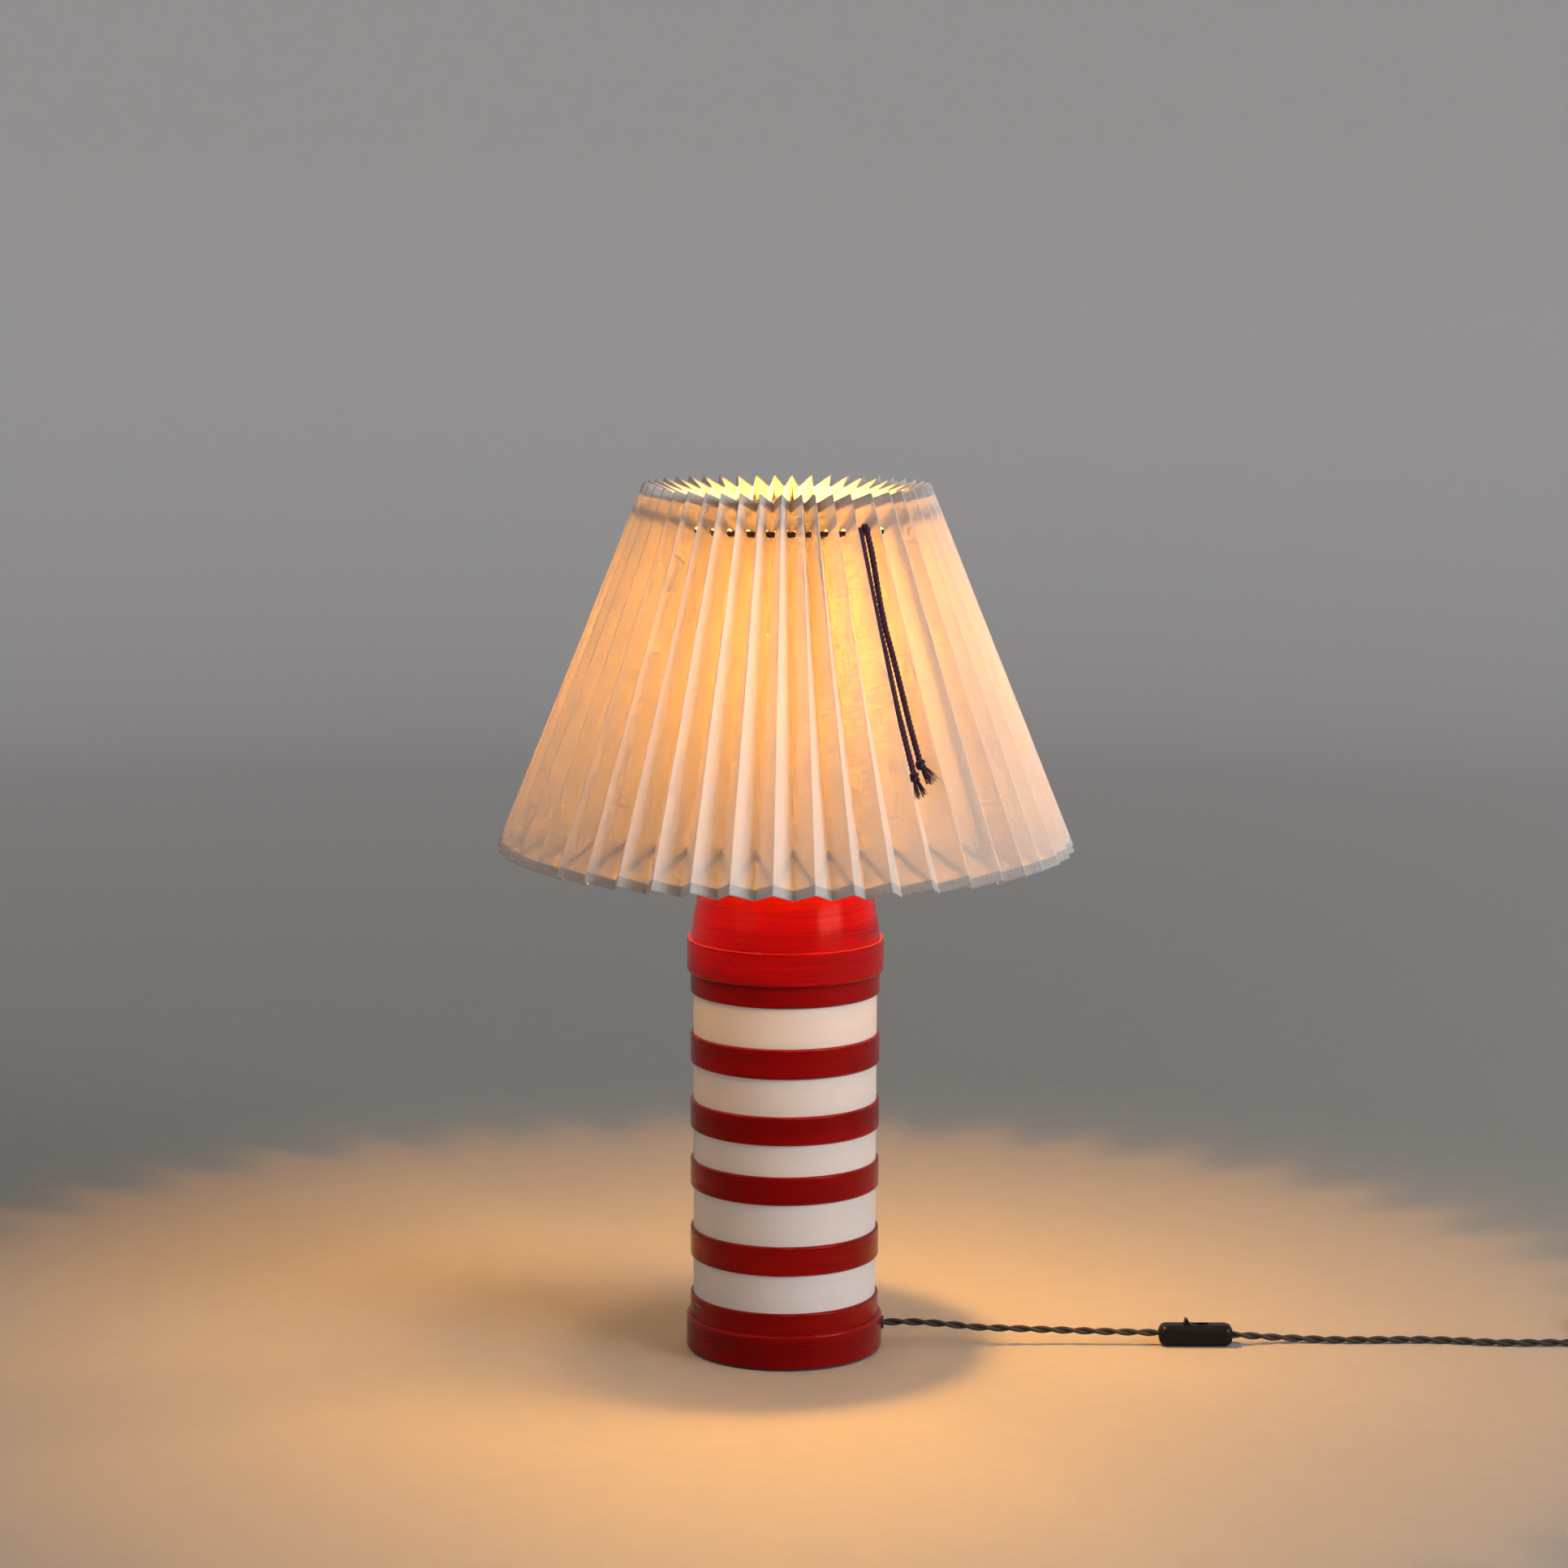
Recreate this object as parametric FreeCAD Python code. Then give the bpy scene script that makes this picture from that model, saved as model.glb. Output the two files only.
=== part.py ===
import FreeCAD, Part
import math
import os

# Table lamp: hollow turned base with painted rings, brass lampholder, shade carrier,
# wire frame with a pleated cloth cover and drawstring, twisted flex with an inline
# rocker switch and a three-pin plug. Millimetres, +Z up, origin at the centre of the
# underside, the flex leaves towards +X and the drawstring hangs on the -Y side.

V = FreeCAD.Vector

# ---------------------------------------------------------------- driving dimensions
# turned base
foot_radius = 77.3
foot_top = 28.0
ring_radius = 74.3
white_radius = 72.0
foot_ring_top = 45.0
painted_rings = ((75.0, 98.3), (131.4, 153.7), (178.6, 201.3), (230.8, 254.5))
neck_ring_bottom = 286.5
collar_bottom = 303.3
collar_top = 330.1
collar_radius = 77.1
edge_round = 1.5
foot_round = 2.2
collar_under_round = 2.6
column_bore = 58.0
dome_radius = 75.4
dome_rise = 145.0
dome_centre = 304.0
dome_top = 441.0
dome_wall = 12.0
spigot_depth = 14.0
spigot_clearance = 0.1
felt_thickness = 1.5
felt_inset = 1.2
recess_radius = 62.0
disc_bottom = 39.0
disc_thickness = 12.0
disc_clearance = 0.15

# central tube, its nuts and washers
tube_radius = 5.0
tube_bore = 4.0
tube_clearance = 0.3
washer_radius = 16.0
washer_thickness = 1.5
nut_across_flats = 17.0
nut_height = 6.5
seat_radius = 26.0
seat_thickness = 2.5
neck_nut_radius = 11.0
neck_nut_height = 7.0
tube_into_holder = 8.0

# lampholder
holder_radius = 19.6
holder_height = 56.0
holder_cap_height = 26.0
holder_wall = 1.2
holder_joint_gap = 0.1
holder_flange_radius = 22.5
holder_flange_thickness = 2.0
insulator_radius = 17.0
insulator_step = 3.0
insulator_boss = 12.5
contact_thickness = 0.6
liner_bore = 13.9
liner_wall = 0.5
liner_gap = 0.1
clamp_ring_radius = 26.5
clamp_ring_height = 7.0
clamp_ring_clearance = 0.05

# bulb
bulb_radius = 30.0
bulb_length = 107.0
bulb_cap_radius = 13.1
bulb_cap_height = 24.0
bulb_insertion = 24.0
bulb_seat_gap = 0.3
glass_wall = 0.8
bulb_neck_radius = 12.4

# shade carrier
carrier_ring_radius = 27.0
carrier_ring_thickness = 1.5
carrier_gap = 0.1
carrier_arm_radius = 1.6
carrier_arm_reach = 40.0
gallery_top = 640.0
gallery_outer = 52.0
gallery_inner = 36.0
gallery_thickness = 1.5
gallery_lip = 5.0
gallery_lip_radius = 41.5
carrier_arms = 3

# shade
pleats = 46
pleat_turn = -2.5
panel_width = 24.0
cover_top_radius = 110.8
cover_top = 684.5
cover_bottom_radius = 225.0
cover_bottom = 401.8
cloth_thickness = 1.0
wire_radius = 1.6
wire_gap = 0.35
top_ring_down = 28.0
bottom_ring_up = 37.0
frame_struts = 4
duplex_radius = 46.0
duplex_wire = 2.0
duplex_gap = 0.1
duplex_arms = 3
string_down = 24.0
string_out = 5.0
string_radius = 2.4
string_hole_clearance = 0.3

# flex
flex_radius = 3.0
flex_height = 18.0
flex_inner_bend = 14.0
grommet_radius = 5.2
grommet_flange = 1.6
grommet_barrel = 4.4
grommet_depth = 8.0
grommet_bore = 3.1
grommet_clearance = 0.1

# inline switch
switch_left = 298.0
switch_length = 58.5
switch_width = 18.0
switch_height = 17.2
switch_lift = 0.2
switch_round = 6.0
switch_wall = 1.8
switch_seam_gap = 0.05
switch_entry_left = 9.8
switch_entry_right = 8.6
switch_hole = 3.3
rocker_length = 19.0
rocker_width = 7.0
rocker_thickness = 4.2
rocker_gap = 0.4
rocker_tilt = 9.0
rocker_nub = 2.4
rocker_depth = 1.6
pivot_radius = 1.2
pivot_clearance = 0.05
cheek_thickness = 2.0
cheek_length = 6.0
cheek_height = 5.0
terminal_length = 9.0
terminal_side = 4.0
terminal_reach = 9.35
terminal_bore = 0.9
switch_screw_radius = 1.4
switch_screw_reach = 21.5
switch_screw_sunk = 0.3

# coil of spare flex and plug
coil_centre = (687.0, 40.0)
coil_mid_radius = 33.0
coil_turn_pitch = 6.0
coil_turns_per_layer = 3
coil_round = 2.5
plug_left = 741.0
plug_centre_y = -2.0
plug_length = 50.0
plug_width = 50.0
plug_cover_height = 17.0
plug_base_height = 6.0
plug_round = 5.0
plug_wall = 2.2
plug_entry_height = 9.0
plug_gap = 0.1
pin_spacing = 22.2
pin_line_width = 6.35
pin_line_thickness = 4.0
pin_line_length = 17.7
pin_earth_width = 7.95
pin_earth_length = 22.7
pin_root = 5.0
earth_from_end = 14.0
plug_screw_radius = 3.2
plug_screw_height = 2.4
plug_screw_slot = (6.0, 0.9, 1.0)
fuse_radius = 3.15
fuse_length = 25.4
grip_size = (6.0, 18.0, 2.5)
part_lift = 0.1

# routes of the flex, chosen by hand (x, y, z)
lamp_to_switch = (
    (79.1, 0.0, 18.0), (100.0, 0.4, 18.5), (126.0, 0.9, 16.6), (154.0, -0.7, 13.9),
    (184.0, -0.3, 13.1), (216.0, 0.8, 11.7), (247.0, 0.5, 10.9), (277.0, -0.3, 10.4),
    (306.0, 0.0, 9.8),
)
switch_to_coil = (
    (348.5, 0.0, 8.6), (359.5, 0.1, 8.4), (373.0, 2.4, 6.8), (390.0, 5.8, 4.9),
    (413.0, 6.9, 3.4), (441.0, 5.2, 3.1), (472.0, 5.3, 3.2), (503.0, 7.2, 3.1),
    (534.0, 5.2, 3.1), (560.0, -0.4, 3.1), (588.0, -1.4, 3.1), (618.0, 0.2, 3.1),
    (650.0, -1.4, 3.1), (680.0, -2.1, 3.1),
)
coil_to_plug = (
    (694.0, -2.0, 9.3), (709.0, -2.6, 9.2), (726.0, -1.7, 9.1), (743.0, -2.0, 9.0),
)
# routes of the drawstring's ends: down the cover, out from the groove, to the side
tail_left = (
    (22.0, 20.0, -1.5), (36.0, 20.2, -2.2), (62.0, 18.6, -2.9), (92.0, 16.8, -3.5),
    (124.0, 15.8, -3.4), (156.0, 15.2, -3.9), (186.0, 16.2, -3.3), (212.0, 19.4, -3.6),
)
tail_right = (
    (23.0, 22.6, 3.0), (37.0, 21.8, 4.4), (62.0, 19.4, 3.9), (92.0, 17.2, 3.4),
    (122.0, 16.0, 3.7), (152.0, 15.6, 3.1), (180.0, 17.2, 4.0), (203.0, 20.4, 4.4),
)
tail_groove = 4
knot_radius = 5.0
knot_length = 8.5
tuft_length = 13.0
tuft_radius = 4.4

parts = {}


# ------------------------------------------------------------------------- helpers
def unit(vector):
    return vector.normalize() if vector.Length else vector


def rounded_edges(corners, closed=True):
    """Edges through (r, z, round) corners in the XZ plane, each corner rounded."""
    points = [V(c[0], 0, c[1]) for c in corners]
    rounds = [c[2] if len(c) > 2 else 0 for c in corners]
    edges = []
    ends = []
    count = len(points)
    for i, corner in enumerate(points):
        if rounds[i] <= 0 or (not closed and i in (0, count - 1)):
            ends.append((corner, corner))
            continue
        back = unit(points[i - 1] - corner)
        ahead = unit(points[(i + 1) % count] - corner)
        half = back.getAngle(ahead) / 2
        cut = rounds[i] / math.tan(half)
        start = corner + back * cut
        stop = corner + ahead * cut
        inward = unit(back + ahead)
        middle = corner + inward * (rounds[i] / math.sin(half) - rounds[i])
        ends.append((start, stop))
        edges.append((i, Part.Arc(start, middle, stop).toShape()))
    arcs = dict(edges)
    wire = []
    for i in range(count if closed else count - 1):
        if i in arcs:
            wire.append(arcs[i])
        leave = ends[i][1]
        arrive = ends[(i + 1) % count][0]
        if (arrive - leave).Length > 1e-6:
            wire.append(Part.LineSegment(leave, arrive).toShape())
    return wire


def lathe(corners, centre=V(0, 0, 0)):
    """A turned piece from a closed outline of (r, z, round) corners."""
    face = Part.Face(Part.Wire(rounded_edges(corners)))
    solid = face.revolve(V(0, 0, 0), V(0, 0, 1), 360)
    solid.translate(centre)
    return solid


def ring_of_wire(radius, z, wire):
    return Part.makeTorus(radius, wire, V(0, 0, z), V(0, 0, 1))


def rod(start, stop, radius):
    return Part.makeCylinder(radius, (stop - start).Length, start, stop - start)


def polar(radius, degrees, z):
    """A point at an azimuth counted from the front (-Y) towards +X."""
    angle = math.radians(degrees)
    return V(radius * math.sin(angle), -radius * math.cos(angle), z)


def around(count, start, make):
    """count copies of make(angle) spread evenly round the axis, as one compound."""
    return Part.makeCompound([make(start + i * 360.0 / count) for i in range(count)])


def tube_along(name, points, radius):
    """A round tube of straight runs joined by tangent arcs as large as the runs allow."""
    corners = [V(*p) for p in points]
    edges = []
    radii = []
    leave = corners[0]
    for i in range(1, len(corners) - 1):
        back = corners[i - 1] - corners[i]
        ahead = corners[i + 1] - corners[i]
        reach = 0.45 * min(back.Length, ahead.Length)
        half = back.getAngle(ahead) / 2
        bend = reach * math.tan(half)
        radii.append(bend)
        start = corners[i] + unit(back) * reach
        stop = corners[i] + unit(ahead) * reach
        middle = corners[i] + unit(unit(back) + unit(ahead)) * (bend / math.sin(half) - bend)
        edges.append(Part.LineSegment(leave, start).toShape())
        edges.append(Part.Arc(start, middle, stop).toShape())
        leave = stop
    edges.append(Part.LineSegment(leave, corners[-1]).toShape())
    path = Part.Wire(edges)
    circle = Part.Circle(corners[0], corners[1] - corners[0], radius)
    tube = path.makePipeShell([Part.Wire(circle.toShape())], True, False)
    ratio = tube.Volume / (math.pi * radius ** 2 * path.Length)
    smallest = ", ".join(f"{r:.0f}" for r in radii)
    print(f"{name}: length {path.Length:.1f}, volume ratio {ratio:.4f}, radii {smallest}")
    return tube


def rounded_box(length, width, height, low, rounding):
    box = Part.makeBox(length, width, height, V(*low))
    return box.makeFillet(rounding, box.Edges) if rounding else box


# ---------------------------------------------------------------------- turned base
def column():
    outline = [
        (foot_radius, felt_thickness, 0.8),
        (foot_radius, foot_top, foot_round),
        (ring_radius, foot_top, 0),
        (ring_radius, foot_ring_top, edge_round),
    ]
    for low, high in painted_rings:
        outline += [
            (white_radius, outline[-1][1], 0),
            (white_radius, low, 0),
            (ring_radius, low, edge_round),
            (ring_radius, high, edge_round),
        ]
    outline += [
        (white_radius, outline[-1][1], 0),
        (white_radius, neck_ring_bottom, 0),
        (ring_radius, neck_ring_bottom, edge_round),
        (ring_radius, collar_bottom, 0),
        (column_bore, collar_bottom, 0),
        (column_bore, disc_bottom + disc_thickness, 0),
        (recess_radius, disc_bottom + disc_thickness, 0),
        (recess_radius, felt_thickness, 0),
    ]
    hole = grommet_barrel + grommet_clearance
    drill = Part.makeCylinder(hole, foot_radius, V(0, 0, flex_height), V(1, 0, 0))
    return lathe(outline).cut(drill)


def dome_edge(radius, rise, low, high):
    """Arc of the dome's ellipse between two heights, in the XZ plane."""
    ellipse = Part.Ellipse(V(0, 0, dome_centre + rise), V(radius, 0, dome_centre),
                           V(0, 0, dome_centre))
    at_low = math.acos((low - dome_centre) / rise)
    at_high = math.acos((high - dome_centre) / rise)
    points = []
    for step in range(3):
        angle = at_low + (at_high - at_low) * step / 2
        points.append(V(radius * math.sin(angle), 0, dome_centre + rise * math.cos(angle)))
    first = ellipse.parameter(points[0])
    last = ellipse.parameter(points[2])
    return Part.ArcOfEllipse(ellipse, min(first, last), max(first, last)).toShape(), points


def dome_cap():
    bore = tube_radius + tube_clearance
    inner_top = dome_top - dome_wall
    spigot = column_bore - spigot_clearance
    cavity = spigot - dome_wall / 2
    inner_radius = dome_radius - dome_wall
    inner_rise = dome_rise - dome_wall
    cavity_high = dome_centre + inner_rise * math.sqrt(1 - (cavity / inner_radius) ** 2)
    outer, outer_points = dome_edge(dome_radius, dome_rise, collar_top, dome_top)
    inner, inner_points = dome_edge(inner_radius, inner_rise, cavity_high, inner_top)
    lower = rounded_edges([
        (cavity, cavity_high),
        (cavity, collar_bottom - spigot_depth, 0),
        (spigot, collar_bottom - spigot_depth, 0.8),
        (spigot, collar_bottom, 0),
        (ring_radius, collar_bottom, 0),
        (collar_radius, collar_bottom, collar_under_round),
        (collar_radius, collar_top, 0.7),
        (outer_points[0].x, collar_top),
    ], closed=False)
    upper = rounded_edges([
        (outer_points[2].x, dome_top),
        (bore, dome_top, 0),
        (bore, inner_top, 0),
        (inner_points[2].x, inner_top),
    ], closed=False)
    edges = Part.__sortEdges__(lower + [outer] + upper + [inner])
    face = Part.Face(Part.Wire(edges))
    return face.revolve(V(0, 0, 0), V(0, 0, 1), 360)


def hex_nut(across, height, bore, low):
    corners = []
    for i in range(7):
        angle = math.radians(60 * i)
        reach = across / 2 / math.cos(math.radians(30))
        corners.append(V(reach * math.cos(angle), reach * math.sin(angle), low))
    body = Part.Face(Part.makePolygon(corners)).extrude(V(0, 0, height))
    return body.cut(Part.makeCylinder(bore, height, V(0, 0, low)))


def plain_ring(outer, inner, low, thickness, rounding=0):
    return lathe([
        (outer, low, rounding),
        (outer, low + thickness, rounding),
        (inner, low + thickness, 0),
        (inner, low, 0),
    ])


tube_hole = tube_radius + tube_clearance
parts["column"] = column()
parts["dome_cap"] = dome_cap()
parts["felt_pad"] = Part.makeCylinder(foot_radius - felt_inset, felt_thickness)
parts["base_disc"] = plain_ring(recess_radius - disc_clearance, tube_hole, disc_bottom,
                                disc_thickness)
washer_low = disc_bottom - washer_thickness
nut_low = washer_low - nut_height
parts["lower_washer"] = plain_ring(washer_radius, tube_hole, washer_low, washer_thickness, 0.3)
parts["lower_nut"] = hex_nut(nut_across_flats, nut_height, tube_radius, nut_low)

holder_low = dome_top + seat_thickness + neck_nut_height
tube_low = flex_height + flex_inner_bend - 2
tube_high = holder_low + tube_into_holder
parts["threaded_tube"] = plain_ring(tube_radius, tube_bore, tube_low, tube_high - tube_low, 0)
parts["top_seat"] = lathe([
    (seat_radius, dome_top, 0),
    (seat_radius, dome_top + seat_thickness, 1.2),
    (tube_hole, dome_top + seat_thickness, 0),
    (tube_hole, dome_top, 0),
])
parts["neck_nut"] = lathe([
    (neck_nut_radius, dome_top + seat_thickness, 0.8),
    (neck_nut_radius, holder_low, 0.8),
    (tube_radius, holder_low, 0),
    (tube_radius, dome_top + seat_thickness, 0),
])


# ---------------------------------------------------------------------- lampholder
cap_high = holder_low + holder_cap_height
skirt_low = cap_high + holder_joint_gap
skirt_high = holder_low + holder_height
flange_low = skirt_low + 2
flange_high = flange_low + holder_flange_thickness
boss = neck_nut_radius
parts["holder_cap"] = lathe([
    (boss, holder_low, 1),
    (boss, holder_low + 4, 1.5),
    (holder_radius, holder_low + 13, 3),
    (holder_radius, cap_high, 0.3),
    (holder_radius - holder_wall, cap_high, 0),
    (holder_radius - holder_wall, holder_low + 13.5, 2),
    (boss - 1, holder_low + 6, 0),
    (tube_radius, holder_low + 6, 0),
    (tube_radius, holder_low, 0),
])
bulb_low = skirt_high - bulb_insertion
contact_low = bulb_low - bulb_seat_gap - contact_thickness
insulator_low = tube_high + flex_radius * 2
insulator_shoulder = skirt_low + insulator_step - holder_joint_gap
wire_hole = tube_bore + 0.5
parts["holder_insulator"] = lathe([
    (insulator_boss, insulator_low, 1),
    (insulator_radius, insulator_low + insulator_step, 0),
    (insulator_radius, insulator_shoulder, 0),
    (insulator_boss, insulator_shoulder, 0),
    (insulator_boss, contact_low, 0.5),
    (wire_hole, contact_low, 0),
    (wire_hole, insulator_low, 0),
])
liner_outer = liner_bore + liner_wall
skirt_bore = liner_outer + liner_gap
parts["holder_skirt"] = lathe([
    (holder_radius, skirt_low, 0.3),
    (holder_radius, flange_low, 0),
    (holder_flange_radius, flange_low, 0.4),
    (holder_flange_radius, flange_high, 0.4),
    (holder_radius, flange_high, 0),
    (holder_radius, skirt_high, 1.2),
    (skirt_bore, skirt_high, 0.8),
    (skirt_bore, skirt_low + insulator_step, 0),
    (insulator_radius + 0.3, skirt_low + insulator_step, 0),
    (insulator_radius + 0.3, skirt_low, 0),
])
liner_low = skirt_low + 4
parts["screw_liner"] = plain_ring(liner_outer, liner_bore, liner_low,
                                  skirt_high - liner_low - 2)
contact_width = 5.0
parts["centre_contact"] = Part.makeBox(
    2 * insulator_boss - 3, contact_width, contact_thickness,
    V(1.5 - insulator_boss, -contact_width / 2, contact_low))
carrier_low = flange_high + carrier_gap
clamp_low = carrier_low + carrier_ring_thickness + carrier_gap
clamp_bore = holder_radius + clamp_ring_clearance
parts["clamp_ring"] = lathe([
    (clamp_ring_radius, clamp_low, 0.8),
    (clamp_ring_radius, clamp_low + clamp_ring_height, 1.5),
    (clamp_bore, clamp_low + clamp_ring_height, 0.4),
    (clamp_bore, clamp_low, 0),
])


# ---------------------------------------------------------------------------- bulb
bulb_high = bulb_low + bulb_length
bulb_middle = bulb_high - bulb_radius
cap_top = bulb_low + bulb_cap_height


def bulb_glass():
    """Hollow pear-shaped glass: neck, flared shoulder and round head."""
    def outline(inset):
        neck = bulb_neck_radius - inset
        head = bulb_radius - inset
        shoulder = V(head * math.cos(math.radians(-38)), 0,
                     bulb_middle + head * math.sin(math.radians(-38)))
        low = cap_top - 4 + inset
        bend = V(neck, 0, cap_top + 5)
        crown = V(0, 0, bulb_middle + head)
        side = V(head * math.cos(math.radians(20)), 0,
                 bulb_middle + head * math.sin(math.radians(20)))
        flare = Part.BSplineCurve()
        flare.interpolate(Points=[bend, shoulder],
                          Tangents=[V(0, 0, 22), V(16, 0, 20)],
                          TangentFlags=[True, True])
        edges = [
            Part.LineSegment(V(0, 0, low), V(neck, 0, low)).toShape(),
            Part.LineSegment(V(neck, 0, low), bend).toShape(),
            flare.toShape(),
            Part.Arc(shoulder, side, crown).toShape(),
            Part.LineSegment(crown, V(0, 0, low)).toShape(),
        ]
        face = Part.Face(Part.Wire(edges))
        return face.revolve(V(0, 0, 0), V(0, 0, 1), 360)
    return outline(0).cut(outline(glass_wall))


def bulb_cap():
    """Screw cap with a rolled thread."""
    corners = [(bulb_neck_radius + 0.1, cap_top, 0), (bulb_cap_radius, cap_top, 0.3)]
    rolls = 5
    pitch = (bulb_cap_height - 9) / rolls
    for i in range(rolls):
        z = cap_top - 2 - i * pitch
        corners.append((bulb_cap_radius, z, 0.5))
        corners.append((bulb_cap_radius - 0.9, z - pitch / 2, 0.5))
    corners += [
        (bulb_cap_radius - 0.9, bulb_low + 5, 1),
        (7.0, bulb_low + 2.5, 0),
        (6.0, bulb_low + 3.0, 0),
        (bulb_cap_radius - 1.8, bulb_low + 6.5, 0),
        (bulb_neck_radius - 1.2, cap_top - 4.2, 0),
        (bulb_neck_radius + 0.1, cap_top - 4.1, 0),
    ]
    return lathe(corners)


parts["bulb_glass"] = bulb_glass()
parts["bulb_cap"] = bulb_cap()
parts["bulb_insulator"] = lathe([
    (0, bulb_low + 1.2, 0), (4.0, bulb_low + 1.2, 0), (6.9, bulb_low + 2.4, 0),
    (5.9, bulb_low + 2.9, 0), (0, bulb_low + 2.9, 0),
])
parts["bulb_contact"] = lathe([
    (0, bulb_low, 0), (3.2, bulb_low, 0.4), (3.8, bulb_low + 1.2, 0), (0, bulb_low + 1.2, 0),
])


# ------------------------------------------------------------------- shade carrier
def carrier_arm(degrees):
    """Wire arm out of the lower ring, up beside the bulb and under the gallery."""
    inner = carrier_ring_radius - 0.4
    low = carrier_low + carrier_ring_thickness / 2
    points = (
        polar(inner, degrees, low),
        polar(inner + 5, degrees, low + 0.4),
        polar(carrier_arm_reach - 1, degrees, low + 16),
        polar(carrier_arm_reach, degrees, low + 60),
        polar(carrier_arm_reach + 0.4, degrees, gallery_top - 50),
        polar(carrier_arm_reach + 4.4, degrees, gallery_top - gallery_thickness),
    )
    return tube_along("carrier arm", [tuple(p) for p in points], carrier_arm_radius)


gallery_low = gallery_top - gallery_thickness
parts["carrier_ring"] = plain_ring(carrier_ring_radius, holder_radius + carrier_gap,
                                   carrier_low, carrier_ring_thickness, 0.2)
parts["carrier_gallery"] = lathe([
    (gallery_outer, gallery_low, 0.5),
    (gallery_outer, gallery_top, 0.5),
    (gallery_lip_radius, gallery_top, 0),
    (gallery_lip_radius, gallery_top + gallery_lip, 0.5),
    (gallery_lip_radius - 1.5, gallery_top + gallery_lip, 0.5),
    (gallery_lip_radius - 1.5, gallery_top, 0),
    (gallery_inner, gallery_top, 0.5),
    (gallery_inner, gallery_low, 0.5),
])
arms = around(carrier_arms, 60, carrier_arm)
below_gallery = Part.makeCylinder(gallery_outer + 5, 20, V(0, 0, gallery_low))
parts["carrier_arms"] = arms.cut(below_gallery).cut(parts["carrier_ring"])


# ------------------------------------------------------------------ pleated cover
half_pitch = math.pi / pleats
slope = math.atan((cover_bottom_radius - cover_top_radius) / (cover_top - cover_bottom))


def pleat_depth(radius):
    """Radial depth of a fold whose panels keep one width."""
    across = radius * math.sin(half_pitch)
    return math.sqrt((panel_width ** 2 - across ** 2) / (1 + math.tan(slope) ** 2))


top_depth = pleat_depth(cover_top_radius)
bottom_depth = pleat_depth(cover_bottom_radius)
peak_top = (cover_top_radius, cover_top)
peak_bottom = (cover_bottom_radius, cover_bottom)
valley_top = (cover_top_radius - top_depth, cover_top - top_depth * math.tan(slope))
valley_bottom = (cover_bottom_radius - bottom_depth,
                 cover_bottom - bottom_depth * math.tan(slope))
fold_length = math.hypot(valley_bottom[0] - valley_top[0], valley_bottom[1] - valley_top[1])


def on_fold(top, bottom, down):
    """Radius and height of a point this far down a fold line."""
    share = down / fold_length
    return (top[0] + (bottom[0] - top[0]) * share, top[1] + (bottom[1] - top[1]) * share)


def mitre(radius):
    """Radial half thickness of the cloth at a fold."""
    across = radius * math.sin(half_pitch)
    return cloth_thickness / 2 * panel_width / across


def zigzag(peak, valley, side):
    """Closed ring of points along one edge of the cover, on one face of the cloth."""
    points = []
    for i in range(pleats):
        angle = pleat_turn + i * 360.0 / pleats
        points.append(polar(peak[0] + side * mitre(peak[0]), angle, peak[1]))
        points.append(polar(valley[0] + side * mitre(peak[0]), angle + 180.0 / pleats,
                            valley[1]))
    return points


def ruled(first, second, i, j):
    """Ruled strip between two rings of points, from point i to point j."""
    return Part.makeRuledSurface(Part.LineSegment(first[i], first[j]).toShape(),
                                 Part.LineSegment(second[i], second[j]).toShape())


def pleated_cover():
    outer_top = zigzag(peak_top, valley_top, 1)
    outer_low = zigzag(peak_bottom, valley_bottom, 1)
    inner_top = zigzag(peak_top, valley_top, -1)
    inner_low = zigzag(peak_bottom, valley_bottom, -1)
    faces = []
    count = len(outer_top)
    for i in range(count):
        j = (i + 1) % count
        for first, second in ((outer_low, outer_top), (inner_top, inner_low),
                              (outer_top, inner_top), (inner_low, outer_low)):
            faces.append(ruled(first, second, i, j))
    return Part.Solid(Part.Shell(faces))


string_valley = on_fold(valley_top, valley_bottom, string_down)
string_ring_radius = string_valley[0] + string_out
string_z = string_valley[1]
passage = Part.makeTorus(string_ring_radius, string_radius + string_hole_clearance,
                         V(0, 0, string_z), V(0, 0, 1))
parts["pleated_cover"] = pleated_cover().cut(passage)
parts["drawstring_loop"] = ring_of_wire(string_ring_radius, string_z, string_radius)


# -------------------------------------------------------------------- shade frame
def ring_inside(down):
    """Radius and height of a frame ring that just clears the valleys from inside."""
    fold = on_fold(valley_top, valley_bottom, down)
    peak = on_fold(peak_top, peak_bottom, down)
    return fold[0] - mitre(peak[0]) - wire_gap - wire_radius, fold[1]


top_ring = ring_inside(top_ring_down)
bottom_ring = ring_inside(fold_length - bottom_ring_up)
parts["frame_top_ring"] = ring_of_wire(top_ring[0], top_ring[1], wire_radius)
parts["frame_bottom_ring"] = ring_of_wire(bottom_ring[0], bottom_ring[1], wire_radius)


def strut(degrees):
    return rod(polar(top_ring[0], degrees, top_ring[1]),
               polar(bottom_ring[0], degrees, bottom_ring[1]), wire_radius)


duplex_z = gallery_top + duplex_gap + duplex_wire


def duplex_arm(degrees):
    return rod(polar(duplex_radius, degrees, duplex_z),
               polar(top_ring[0], degrees, top_ring[1]), wire_radius)


parts["duplex_ring"] = ring_of_wire(duplex_radius, duplex_z, duplex_wire)
parts["frame_struts"] = around(frame_struts, 45, strut).cut(
    [parts["frame_top_ring"], parts["frame_bottom_ring"]])
parts["duplex_arms"] = around(duplex_arms, 0, duplex_arm).cut(
    [parts["duplex_ring"], parts["frame_top_ring"]])


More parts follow.
